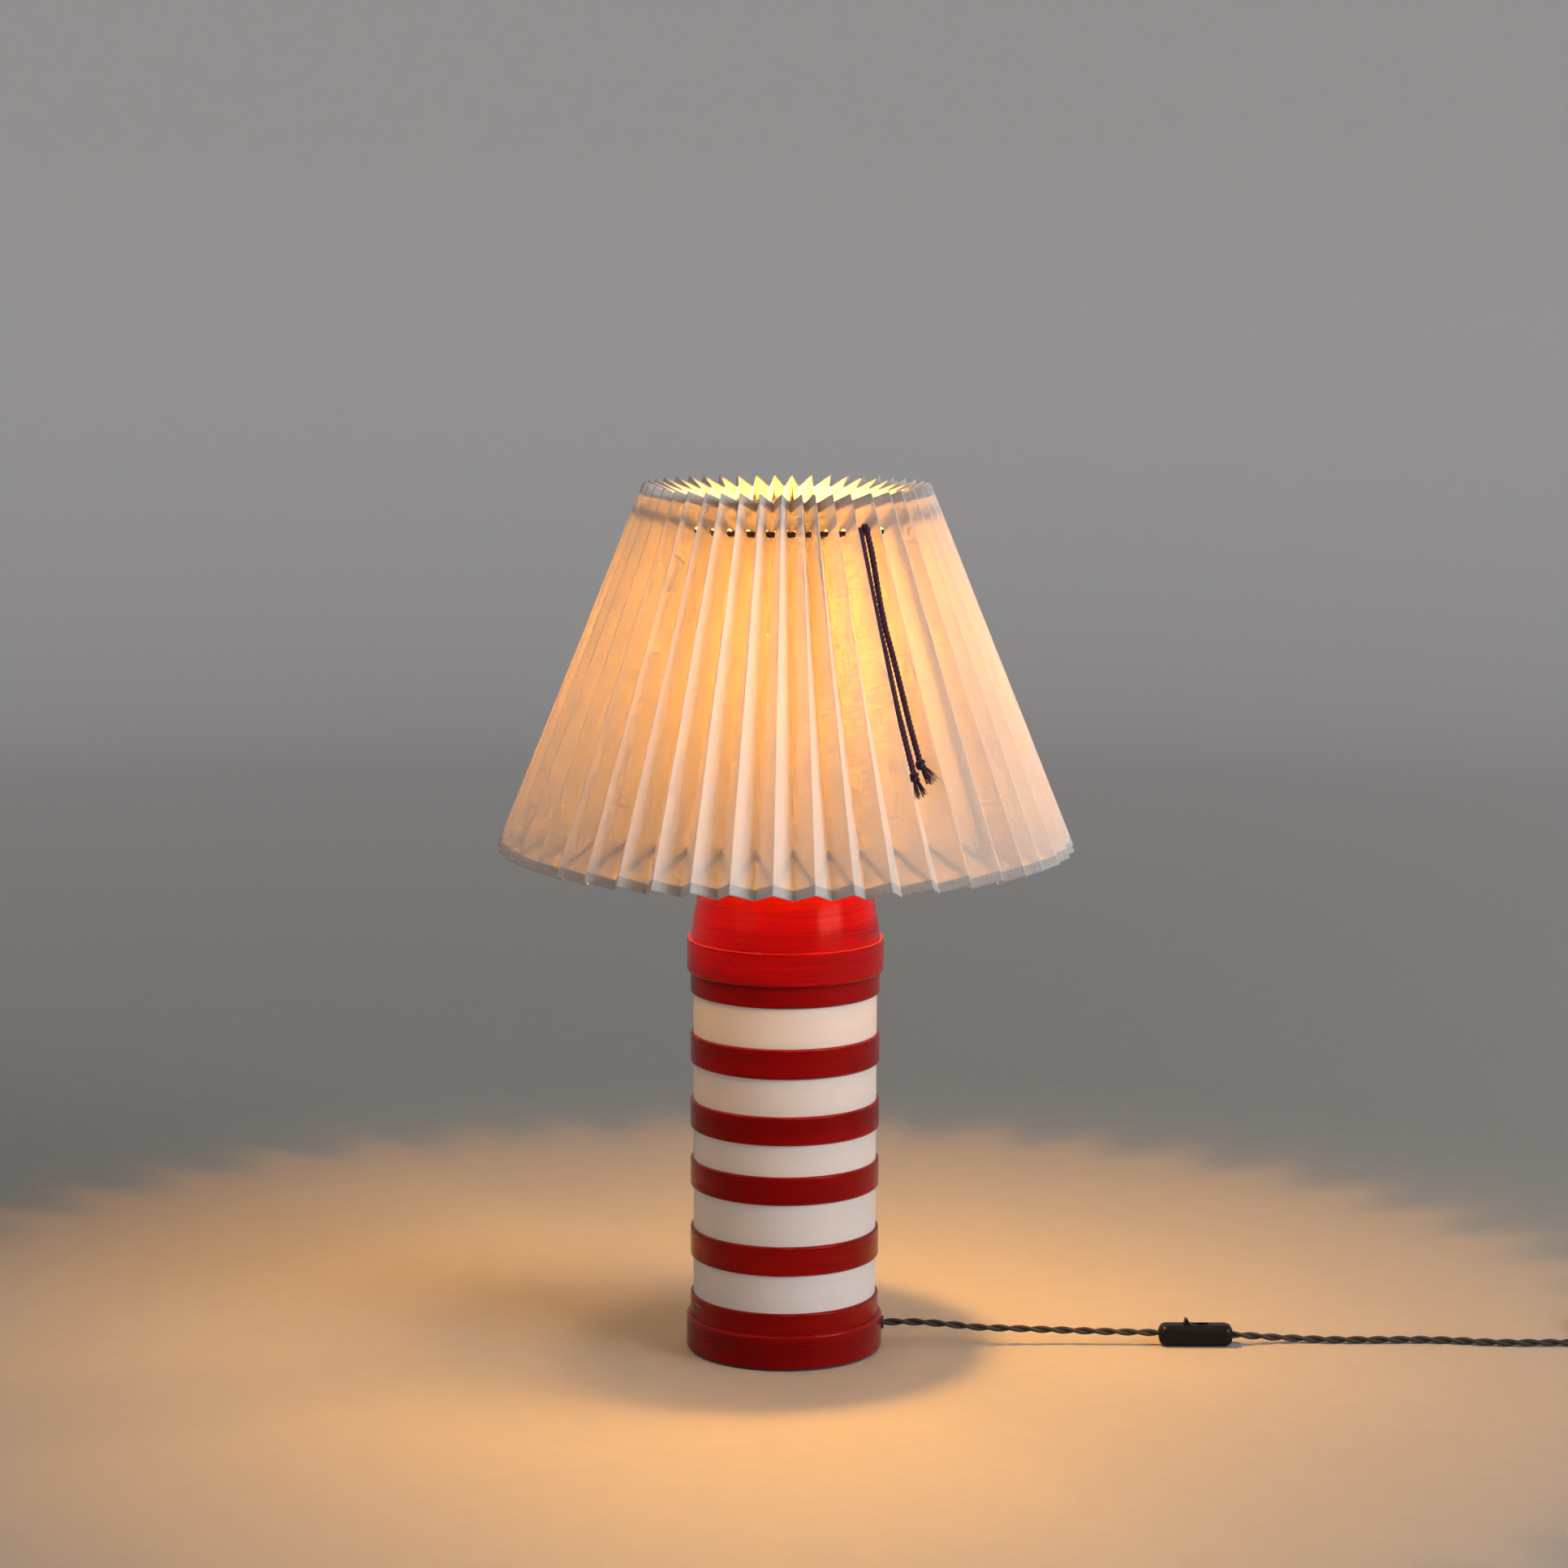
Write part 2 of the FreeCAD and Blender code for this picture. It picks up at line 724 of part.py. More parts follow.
# ------------------------------------------------------------- drawstring's two ends
def in_groove(down, out, side):
    """A point in the groove that holds the drawstring's ends."""
    groove = pleat_turn + (tail_groove + 0.5) * 360.0 / pleats
    fold = on_fold(valley_top, valley_bottom, down)
    across = V(math.cos(math.radians(groove)), math.sin(math.radians(groove)), 0)
    return polar(fold[0] + out, groove, fold[1]) + across * side


def string_end(route):
    """The knot and the frayed tuft below the end of a tail, as one solid."""
    last = in_groove(*route[-1])
    before = in_groove(*route[-2])
    ahead = unit(last - before)
    knot = lathe([(0, 0, 0), (knot_radius * 0.6, 0, 0), (knot_radius, knot_length * 0.35, 1),
                  (knot_radius, knot_length * 0.65, 1), (knot_radius / 2, knot_length, 0),
                  (tuft_radius, knot_length + tuft_length, 0),
                  (0, knot_length + tuft_length, 0)])
    knot.Placement = FreeCAD.Placement(last, FreeCAD.Rotation(V(0, 0, 1), ahead))
    return knot


parts["string_tail_left"] = tube_along(
    "left tail", [tuple(in_groove(*p)) for p in tail_left], string_radius)
parts["string_tail_right"] = tube_along(
    "right tail", [tuple(in_groove(*p)) for p in tail_right], string_radius)
parts["string_end_left"] = string_end(tail_left)
parts["string_end_right"] = string_end(tail_right)


# ----------------------------------------------------------------- flex and grommet
def grommet():
    face_x = foot_radius + grommet_clearance
    flange = Part.makeCylinder(grommet_radius, grommet_flange, V(face_x, 0, flex_height),
                               V(1, 0, 0))
    flange = flange.makeFillet(0.6, [flange.Edges[0]])
    barrel = Part.makeCylinder(grommet_barrel, grommet_depth,
                               V(face_x - grommet_depth, 0, flex_height), V(1, 0, 0))
    bore = Part.makeCylinder(grommet_bore, grommet_depth + grommet_flange + 2,
                             V(face_x - grommet_depth - 1, 0, flex_height), V(1, 0, 0))
    return flange.fuse(barrel).cut(bore).removeSplitter()


def inner_flex():
    """From the grommet to the middle, then up the central tube into the lampholder."""
    start = V(foot_radius + grommet_clearance + grommet_flange, 0, flex_height)
    corner = V(flex_inner_bend, 0, flex_height)
    rise = V(0, 0, flex_height + flex_inner_bend)
    middle = V(flex_inner_bend * (1 - math.sin(math.radians(45))), 0,
               rise.z - flex_inner_bend * math.cos(math.radians(45)))
    top = V(0, 0, contact_low - flex_radius)
    path = Part.Wire([
        Part.LineSegment(start, corner).toShape(),
        Part.Arc(corner, middle, rise).toShape(),
        Part.LineSegment(rise, top).toShape(),
    ])
    circle = Part.Circle(start, V(-1, 0, 0), flex_radius)
    tube = path.makePipeShell([Part.Wire(circle.toShape())], True, False)
    ratio = tube.Volume / (math.pi * flex_radius ** 2 * path.Length)
    print(f"inner flex: length {path.Length:.1f}, volume ratio {ratio:.4f}")
    return tube


parts["grommet"] = grommet()
parts["flex_inside_lamp"] = inner_flex()
parts["flex_lamp_to_switch"] = tube_along("lamp to switch", lamp_to_switch, flex_radius)


# ---------------------------------------------------------------------- inline switch
switch_middle = switch_left + switch_length / 2
switch_top = switch_lift + switch_height
seam = switch_lift + switch_height / 2
pivot_z = switch_top - rocker_depth


def switch_body():
    low = (switch_left, -switch_width / 2, switch_lift)
    body = rounded_box(switch_length, switch_width, switch_height, low, switch_round)
    inner = rounded_box(switch_length - 2 * switch_wall, switch_width - 2 * switch_wall,
                        switch_height - 2 * switch_wall,
                        [c + switch_wall for c in low], switch_round - switch_wall)
    body = body.cut(inner)
    for x, z in ((switch_left, switch_entry_left),
                 (switch_left + switch_length, switch_entry_right)):
        body = body.cut(Part.makeCylinder(switch_hole, 2 * switch_round,
                                          V(x - switch_round, 0, z), V(1, 0, 0)))
    return body


def half_space(low, high):
    return Part.makeBox(switch_length + 20, switch_width + 20, high - low,
                        V(switch_left - 10, -switch_width / 2 - 10, low))


def rocker_slot():
    length = rocker_length + 2 * rocker_gap
    width = rocker_width + 2 * rocker_gap
    return Part.makeBox(length, width, switch_height,
                        V(switch_middle - length / 2, -width / 2, seam))


def bearing_cheeks():
    """Two cheeks under the cover that hold the rocker's pivots."""
    inside = rocker_width / 2 + rocker_gap
    cheeks = []
    for low_y in (inside, -inside - cheek_thickness):
        low = V(switch_middle - cheek_length / 2, low_y, switch_top - cheek_height)
        cheeks.append(Part.makeBox(cheek_length, cheek_thickness, cheek_height, low))
    return cheeks


def rocker():
    """Rocker at rest with its left end up, turned about the middle of the slot."""
    half = rocker_length / 2
    outline = [
        (-half, -rocker_thickness / 2, 0.5), (half, -rocker_thickness / 2, 0.5),
        (half, rocker_thickness / 2 + rocker_nub * 0.25, 0.6), (half * 0.55, 0.7, 3),
        (-half * 0.5, 0.9, 3), (-half + 2.2, rocker_thickness / 2 + rocker_nub, 0.7),
        (-half, rocker_thickness / 2 + rocker_nub, 0.7),
    ]
    face = Part.Face(Part.Wire(rounded_edges(outline)))
    body = face.extrude(V(0, rocker_width, 0))
    body.translate(V(0, -rocker_width / 2, 0))
    pivot_reach = rocker_width / 2 + rocker_gap + cheek_thickness * 0.8
    pivot = Part.makeCylinder(pivot_radius, 2 * pivot_reach, V(0, -pivot_reach, 0), V(0, 1, 0))
    body = body.fuse(pivot).removeSplitter()
    body.rotate(V(0, 0, 0), V(0, 1, 0), rocker_tilt)
    body.translate(V(switch_middle, 0, pivot_z))
    return body


shell = switch_body()
cover = shell.common(half_space(seam + switch_seam_gap, switch_top + 5)).cut(rocker_slot())
outer_shape = rounded_box(switch_length, switch_width, switch_height,
                          (switch_left, -switch_width / 2, switch_lift), switch_round)
for cheek in bearing_cheeks():
    cover = cover.fuse(cheek.common(outer_shape))
bore_reach = rocker_width / 2 + rocker_gap + cheek_thickness * 0.9
pivot_bore = Part.makeCylinder(pivot_radius + pivot_clearance, 2 * bore_reach,
                               V(switch_middle, -bore_reach, pivot_z), V(0, 1, 0))
parts["switch_cover"] = cover.cut(pivot_bore).removeSplitter()
parts["switch_base"] = shell.common(half_space(switch_lift - 5, seam - switch_seam_gap))
parts["rocker"] = rocker()


def terminal(side):
    x = switch_middle + side * terminal_reach - terminal_length / 2
    block = Part.makeBox(terminal_length, terminal_side, terminal_side,
                         V(x, -terminal_side / 2, switch_lift + switch_wall))
    bore = Part.makeCylinder(terminal_bore, terminal_length,
                             V(x, 0, switch_lift + switch_wall + terminal_side / 2),
                             V(1, 0, 0))
    return block.cut(bore)


parts["switch_terminals"] = Part.makeCompound([terminal(-1), terminal(1)])


def switch_screw(side):
    """Countersunk screw let into the underside of the base."""
    x = switch_middle + side * switch_screw_reach
    return Part.makeCylinder(switch_screw_radius, switch_wall - switch_screw_sunk,
                             V(x, 0, switch_lift + switch_screw_sunk))


screws = [switch_screw(side) for side in (-1, 1)]
screw_holes = [Part.makeCylinder(switch_screw_radius + 0.05, switch_wall + 2,
                                 V(s.CenterOfMass.x, 0, switch_lift - 1)) for s in screws]
parts["switch_base"] = parts["switch_base"].cut(screw_holes)
parts["switch_screws"] = Part.makeCompound(screws)


# ------------------------------------------------------------------ coil of spare flex
coil_outer = coil_mid_radius + coil_turn_pitch * coil_turns_per_layer / 2 + flex_radius
coil_inner = coil_mid_radius - coil_turn_pitch * coil_turns_per_layer / 2 - flex_radius
coil_height = 4 * flex_radius + 0.5
parts["flex_coil"] = lathe([
    (coil_outer, part_lift, coil_round), (coil_outer, coil_height, coil_round),
    (coil_inner, coil_height, coil_round), (coil_inner, part_lift, coil_round),
], V(coil_centre[0], coil_centre[1], 0))
parts["flex_switch_to_coil"] = tube_along("switch to coil", switch_to_coil,
                                          flex_radius).cut(parts["flex_coil"])
parts["flex_coil_to_plug"] = tube_along("coil to plug", coil_to_plug,
                                        flex_radius).cut(parts["flex_coil"])


# ----------------------------------------------------------------------------- plug
plug_low_y = plug_centre_y - plug_width / 2
plug_lift = 2 * part_lift
plug_split = plug_lift + plug_cover_height


def plug_cover():
    """Hollow cover lying on its back, open towards the pins."""
    low = (plug_left, plug_low_y, plug_lift)
    body = rounded_box(plug_length, plug_width, plug_cover_height + plug_round + 2, low,
                       plug_round)
    top = Part.makeBox(plug_length + 2, plug_width + 2, plug_round + 10,
                       V(plug_left - 1, plug_low_y - 1, plug_split - plug_gap))
    body = body.cut(top)
    inner = Part.makeBox(plug_length - 2 * plug_wall, plug_width - 2 * plug_wall,
                         plug_cover_height,
                         V(plug_left + plug_wall, plug_low_y + plug_wall,
                           plug_lift + plug_wall))
    entry = Part.makeCylinder(switch_hole, 10,
                              V(plug_left - 4, plug_centre_y, plug_entry_height),
                              V(1, 0, 0))
    return body.cut(inner).cut(entry)


def pin_slot(x, y, along, across, length, root):
    return Part.makeBox(along, across, length + root,
                        V(x - along / 2, y - across / 2,
                          plug_split + plug_base_height - root))


earth_x = plug_left + plug_length - earth_from_end
live_x = earth_x - pin_spacing
earth_pin = pin_slot(earth_x, plug_centre_y, pin_earth_width, pin_line_thickness,
                     pin_earth_length, pin_root)
live_pins = [pin_slot(live_x, plug_centre_y + side * pin_spacing / 2, pin_line_thickness,
                      pin_line_width, pin_line_length, pin_root) for side in (-1, 1)]
plug_base = rounded_box(plug_length, plug_width, plug_base_height + plug_round + 2,
                        (plug_left, plug_low_y, plug_split - plug_round - 2), plug_round)
plug_base = plug_base.cut(Part.makeBox(plug_length + 2, plug_width + 2, plug_round + 2,
                                       V(plug_left - 1, plug_low_y - 1,
                                         plug_split - plug_round - 2)))
cover_screw_x = live_x + pin_spacing / 2
plug_face = plug_split + plug_base_height
screw_head = Part.makeCylinder(plug_screw_radius, plug_screw_height,
                               V(cover_screw_x, plug_centre_y, plug_face - plug_screw_height))
parts["plug_cover"] = plug_cover()
parts["plug_base"] = plug_base.cut([earth_pin, screw_head] + live_pins)
parts["plug_earth_pin"] = earth_pin
parts["plug_line_pins"] = Part.makeCompound(live_pins)
slot = Part.makeBox(*plug_screw_slot,
                    V(cover_screw_x - plug_screw_slot[0] / 2,
                      plug_centre_y - plug_screw_slot[1] / 2, plug_face - plug_screw_slot[2]))
parts["plug_screw"] = screw_head.cut(slot)
fuse_place = V(live_x - 8, plug_low_y + plug_wall + fuse_radius + 2, plug_split - 5)
parts["plug_fuse"] = Part.makeCylinder(fuse_radius, fuse_length, fuse_place, V(1, 0, 0))
grip_low = (plug_left + plug_wall + 2, plug_centre_y - grip_size[1] / 2,
            plug_entry_height + flex_radius + 2 * part_lift)
parts["plug_cord_grip"] = rounded_box(*grip_size, grip_low, 0.6)


# --------------------------------------------------------------------------- export
os.makedirs("parts", exist_ok=True)
for name, shape in parts.items():
    if not shape.isValid():
        print(f"{name} is not valid")
    shape.exportStep(f"parts/{name}.step")
print(f"{len(parts)} nodes, fold length {fold_length:.1f}")
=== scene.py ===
import math
import random

import bpy
import numpy as np
from mathutils import Matrix, Vector


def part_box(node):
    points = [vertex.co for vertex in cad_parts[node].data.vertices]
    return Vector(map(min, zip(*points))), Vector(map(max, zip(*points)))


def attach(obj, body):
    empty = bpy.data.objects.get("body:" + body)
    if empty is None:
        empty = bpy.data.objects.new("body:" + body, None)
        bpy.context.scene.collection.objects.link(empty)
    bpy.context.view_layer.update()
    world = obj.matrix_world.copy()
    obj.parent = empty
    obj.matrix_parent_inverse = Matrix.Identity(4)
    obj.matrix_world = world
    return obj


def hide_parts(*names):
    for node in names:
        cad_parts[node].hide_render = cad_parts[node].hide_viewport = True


bl_info = {
    "name": "Ringed Table Lamp",
    "version": (1, 0, 0),
    "blender": (4, 5, 0),
    "location": "3D View > Sidebar > Lamp",
    "description": "Finishes, pleated shade, drawstring and flex of a table lamp",
    "category": "Add Mesh",
}

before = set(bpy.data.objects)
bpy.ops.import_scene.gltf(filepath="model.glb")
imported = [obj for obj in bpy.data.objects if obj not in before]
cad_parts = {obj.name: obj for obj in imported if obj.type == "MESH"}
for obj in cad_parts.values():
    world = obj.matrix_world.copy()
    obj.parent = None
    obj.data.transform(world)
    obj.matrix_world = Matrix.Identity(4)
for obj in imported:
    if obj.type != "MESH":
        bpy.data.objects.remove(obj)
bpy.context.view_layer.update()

# Faces of the turned base, in metres: its bands, and where bare wood begins.
BANDS = [(0.0445, 0.0755), (0.0978, 0.1319), (0.1532, 0.1791), (0.2008, 0.2313),
         (0.2540, 0.2870)]
BAND_REACH = 0.0722
COLUMN_INSIDE = 0.0712
COLUMN_FOOT = 0.0016
DOME_INSIDE = 0.0705
DOME_FOOT = 0.3032
DOME_SPRING = 0.304
DOME_RISE = 0.140
BAND_SLOT = 1
WOOD_SLOT = 2

# Fold lines of the cover: (radius, height) at the top and the bottom of peaks and valleys.
PLEATS = 46
PLEAT_TURN = -2.5
PEAK = ((0.1108, 0.6845), (0.2250, 0.4018))
VALLEY = ((0.08929, 0.67583), (0.20702, 0.39453))
FOLD_LENGTH = 0.3049
PANEL_WIDTH = 0.024
FOLD_PHASE = 6.28
FOLD_SWAY = 0.0007
FOLD_RIPPLE = 0.00015
PANEL_BOW = 0.0003

# The drawstring's ring (radius, height) and the holes that it passes through.
STRING_RING = (0.1060, 0.65369)
HOLE_DOWN = 0.0266
HOLE_BELT = 0.0048
HOLE_RADIUS = 0.0031
HOLE_LIFT = 0.0006
HOLE_REACH = 0.0012

# Thread ties at the frame rings, and the drawstring's rope, knots and tufts.
TIE_STEPS = 14
TIE_SIDES = 5
TIE_THREAD = 0.0003
TAIL_GROOVE = 4
ROPE_SIDES = 8
ROPE_STEP = 0.0011
LOOP_POINTS = 560
KNOT_POINTS = 60
KNOT_AHEAD = 0.0030
KNOT_SIZE = 0.0021
KNOT_ROPE = 0.62
TUFT_DROP = 0.0028
TUFT_ROOT = 0.0017
TUFT_SPREAD = 0.0042
TUFT_CURL = 0.0007
TUFT_RINGS = 7
TUFT_SIDES = 5

# How finely the flex's two cores are made.
CORE_SIDES = 10
CORE_STEP = 0.0016

# How far each gathered fold at the front stands from an even spacing, in degrees.
PEAK_TOP_TURN = {0: 0.4, 1: 0.3, 2: -2.3, 3: -3.0, 4: -3.4, 5: -1.9, 6: -0.4, 7: -1.1}
VALLEY_BOTTOM_TURN = {0: 0.2, 1: 0.2, 2: -0.6, 3: -0.5, 4: 0.6, 5: 1.2, 6: 1.8}

# The flex: from the foot to the switch, and from the switch to the coil, in metres.
LAMP_TO_SWITCH = [
    (0.0791, 0.0, 0.018), (0.100, 0.0004, 0.0185), (0.126, 0.0009, 0.0166),
    (0.154, -0.0007, 0.0139), (0.184, -0.0003, 0.0131), (0.216, 0.0008, 0.0117),
    (0.247, 0.0005, 0.0109), (0.277, -0.0003, 0.0104), (0.306, 0.0, 0.0098),
]
SWITCH_TO_COIL = [
    (0.3485, 0.0, 0.0086), (0.3595, 0.0001, 0.0084), (0.373, 0.0024, 0.0068),
    (0.390, 0.0058, 0.0049), (0.413, 0.0069, 0.0034), (0.441, 0.0052, 0.0031),
    (0.472, 0.0053, 0.0032), (0.503, 0.0072, 0.0031), (0.534, 0.0052, 0.0031),
    (0.560, -0.0004, 0.0031), (0.588, -0.0014, 0.0031), (0.618, 0.0002, 0.0031),
    (0.650, -0.0014, 0.0031), (0.676, -0.0021, 0.0031),
]
COIL_TO_PLUG = [
    (0.698, -0.0021, 0.0093), (0.711, -0.0026, 0.0092), (0.726, -0.0017, 0.0091),
    (0.743, -0.002, 0.009),
]
INSIDE_LAMP = [
    (0.079, 0.0, 0.018), (0.055, 0.0004, 0.018), (0.032, -0.0002, 0.018), (0.016, 0.0, 0.0182),
    (0.005, 0.0, 0.0205), (0.0006, 0.0, 0.028), (0.0, 0.0, 0.040), (0.0001, 0.0, 0.090),
    (-0.0001, 0.0, 0.200), (0.0, 0.0001, 0.330), (0.0, 0.0, 0.440), (0.0, 0.0, 0.4775),
]

# The coil: where it lies, its widest and narrowest turns, and the height of each layer.
COIL_CENTRE = (0.687, 0.040)
COIL_WIDE = 0.0423
COIL_NARROW = 0.0243
COIL_LOW = 0.0031
COIL_HIGH = 0.0093
COIL_CLIMB = 0.0062
COIL_TURNS = 3
COIL_STEPS = 16

# The light inside the bulb, the stage all round, its lights and its camera.
FILAMENT = (0.016, -0.004, 0.5595)
FILAMENT_RADIUS = 0.010
STAGE_MIDDLE = 1.0
STAGE_RADIUS = 4.2
STAGE_CURVE = 1.0
STAGE_HEIGHT = 2.4
STAGE_SIDES = 96
STAGE_BEND = 9
KEY_PLACE = (2.8, -1.8, 1.6)
FILL_PLACE = (-2.6, -2.0, 1.6)
FILL_SHARE = 0.12
LIGHT_TARGET = (0, 0, 0.3)
LIGHT_SIZE = 2.0
CAMERA_PLACE = (-0.0015, -3.0531, 0.9065)
CAMERA_TILT = math.radians(81.5)
CAMERA_ROLL = math.radians(0.194)
CAMERA_LENS = 90.97
CAMERA_SENSOR = 36

# The drawstring's ends: down the cover, out from the groove, to the side, in metres.
TAIL_LEFT = [
    (0.022, 0.0208, -0.0108), (0.036, 0.0212, -0.0114), (0.062, 0.0208, -0.0122),
    (0.092, 0.0196, -0.0121), (0.124, 0.0190, -0.0112), (0.156, 0.0182, -0.0112),
    (0.185, 0.0180, -0.0100), (0.209, 0.0194, -0.0100),
]
TAIL_RIGHT = [
    (0.023, 0.0226, -0.0060), (0.037, 0.0218, -0.0053), (0.062, 0.0200, -0.0058),
    (0.092, 0.0180, -0.0062), (0.122, 0.0165, -0.0034), (0.152, 0.0160, -0.0023),
    (0.179, 0.0172, -0.0023), (0.200, 0.0200, -0.0025),
]
BIGHT_LEFT = [
    (0.024, 0.0073, -0.0053), (0.0235, 0.0100, -0.0056), (0.0222, 0.0140, -0.0066),
    (0.0205, 0.0180, -0.0093), (0.0200, 0.0204, -0.0106), (0.0220, 0.0208, -0.0108),
]
BIGHT_RIGHT = [
    (0.024, 0.0073, -0.0010), (0.0235, 0.0110, -0.0015), (0.0215, 0.0160, -0.0040),
    (0.0180, 0.0205, -0.0072), (0.0165, 0.0236, -0.0080), (0.0172, 0.0250, -0.0070),
    (0.0195, 0.0244, -0.0062), (0.0230, 0.0226, -0.0060),
]


# ------------------------------------------------------------------ sizes and colours
class LampBaseFinish(bpy.types.PropertyGroup):
    lacquer: bpy.props.FloatVectorProperty(
        name="Lacquer", description="Colour of the glossy rings, foot and dome",
        subtype="COLOR", size=3, min=0, max=1, default=(0.120, 0.0006, 0.0014))
    lacquer_streak: bpy.props.FloatVectorProperty(
        name="Thin strokes", description="Colour where the brush left the lacquer thin",
        subtype="COLOR", size=3, min=0, max=1, default=(0.21, 0.0014, 0.0028))
    band: bpy.props.FloatVectorProperty(
        name="Bands", description="Colour of the eggshell bands",
        subtype="COLOR", size=3, min=0, max=1, default=(0.54, 0.52, 0.51))
    stroke_height: bpy.props.FloatProperty(
        name="Stroke height", description="Height of the brush marks", subtype="DISTANCE",
        unit="LENGTH", min=0, max=0.001, default=0.00008)


class LampShadeSizes(bpy.types.PropertyGroup):
    cloth: bpy.props.FloatVectorProperty(
        name="Cloth", description="Colour of the linen", subtype="COLOR", size=3,
        min=0, max=1, default=(0.86, 0.835, 0.82))
    cloth_through: bpy.props.FloatVectorProperty(
        name="Light through", description="Tint that the linen gives to light passing through",
        subtype="COLOR", size=3, min=0, max=1, default=(0.62, 0.57, 0.49))
    thickness: bpy.props.FloatProperty(
        name="Thickness", description="Thickness of the linen", subtype="DISTANCE",
        unit="LENGTH", min=0.0002, max=0.001, default=0.0004)
    hem: bpy.props.FloatProperty(
        name="Hem", description="Depth of the folded hems", subtype="DISTANCE",
        unit="LENGTH", min=0, max=0.02, default=0.008)
    unevenness: bpy.props.FloatProperty(
        name="Unevenness", description="How far folds stray from an even spacing",
        subtype="ANGLE", unit="ROTATION", min=0, max=0.05, default=math.radians(0.55))
    thread: bpy.props.FloatProperty(
        name="Thread spacing", description="Distance between threads of the linen",
        subtype="DISTANCE", unit="LENGTH", min=0.0003, max=0.002, default=0.0007)


class LampStringSizes(bpy.types.PropertyGroup):
    rope: bpy.props.FloatVectorProperty(
        name="Rope", description="Colour of the twisted drawstring", subtype="COLOR", size=3,
        min=0, max=1, default=(0.046, 0.006, 0.022))
    diameter: bpy.props.FloatProperty(
        name="Thickness", description="Thickness of the drawstring", subtype="DISTANCE",
        unit="LENGTH", min=0.002, max=0.008, default=0.0048)
    pitch: bpy.props.FloatProperty(
        name="Twist", description="Length of one full twist", subtype="DISTANCE",
        unit="LENGTH", min=0.005, max=0.03, default=0.0115)
    fibres: bpy.props.IntProperty(
        name="Tuft fibres", description="Loose yarns below each knot", min=8, max=90, default=44)


class LampFlexSizes(bpy.types.PropertyGroup):
    braid: bpy.props.FloatVectorProperty(
        name="Braid", description="Colour of the braided flex", subtype="COLOR", size=3,
        min=0, max=1, default=(0.011, 0.010, 0.011))
    core: bpy.props.FloatProperty(
        name="Core thickness", description="Thickness of each of the two cores",
        subtype="DISTANCE", unit="LENGTH", min=0.002, max=0.004, default=0.003)
    pitch: bpy.props.FloatProperty(
        name="Twist", description="Length of one full twist of the two cores",
        subtype="DISTANCE", unit="LENGTH", min=0.01, max=0.08, default=0.034)


class LampLight(bpy.types.PropertyGroup):
    glow: bpy.props.FloatVectorProperty(
        name="Glow", description="Colour of the lit bulb", subtype="COLOR", size=3,
        min=0, max=1, default=(1.0, 0.46, 0.080))
    strength: bpy.props.FloatProperty(
        name="Strength", description="Brightness of the lit glass", min=0, max=1000, default=110)
    filament: bpy.props.FloatProperty(
        name="Filament", description="Power of the light inside the glass", subtype="POWER",
        min=0, max=200, default=19)


class LampStageSettings(bpy.types.PropertyGroup):
    floor: bpy.props.FloatVectorProperty(
        name="Floor", description="Colour of the floor", subtype="COLOR", size=3,
        min=0, max=1, default=(0.29, 0.275, 0.245))
    wall: bpy.props.FloatVectorProperty(
        name="Wall", description="Colour of the backdrop", subtype="COLOR", size=3,
        min=0, max=1, default=(0.58, 0.56, 0.54))
    sky: bpy.props.FloatProperty(
        name="Surrounding light", description="Strength of the even light all round",
        min=0, max=5, default=0.38)
    key: bpy.props.FloatProperty(
        name="Key light", description="Power of the large soft light", subtype="POWER",
        min=0, max=500, default=104)


# -------------------------------------------------------------------- mesh making tools
def add_mesh(name, points, faces, materials, face_slots=None, smooth=True):
    """A new object in the scene from points and faces."""
    mesh = bpy.data.meshes.new(name)
    mesh.from_pydata([tuple(p) for p in points], [], [tuple(f) for f in faces])
    for finish in materials:
        mesh.materials.append(finish)
    if face_slots is not None:
        mesh.polygons.foreach_set("material_index", np.asarray(face_slots, np.int32))
    mesh.polygons.foreach_set("use_smooth", np.full(len(mesh.polygons), smooth))
    mesh.update()
    made = bpy.data.objects.new(name, mesh)
    bpy.context.scene.collection.objects.link(made)
    return made


def smooth_line(name, points):
    """Evenly spaced points on the NURBS line that these points control."""
    curve = bpy.data.curves.new(name, "CURVE")
    curve.dimensions = "3D"
    spline = curve.splines.new("NURBS")
    spline.points.add(len(points) - 1)
    for control, place in zip(spline.points, points):
        control.co = (*place, 1)
    spline.order_u = 3
    spline.use_endpoint_u = True
    curve.resolution_u = 16
    holder = bpy.data.objects.new(name, curve)
    bpy.context.scene.collection.objects.link(holder)
    graph = bpy.context.evaluated_depsgraph_get()
    mesh = bpy.data.meshes.new_from_object(holder.evaluated_get(graph))
    line = np.array([v.co for v in mesh.vertices], float)
    bpy.data.objects.remove(holder)
    bpy.data.curves.remove(curve)
    bpy.data.meshes.remove(mesh)
    return line


def spaced(line, step):
    """The line again with points one step apart, and the length at each."""
    runs = np.linalg.norm(np.diff(line, axis=0), axis=1)
    along = np.concatenate([[0], np.cumsum(runs)])
    count = max(2, int(round(along[-1] / step)) + 1)
    wanted = np.linspace(0, along[-1], count)
    points = np.stack([np.interp(wanted, along, line[:, i]) for i in range(3)], axis=1)
    return points, wanted


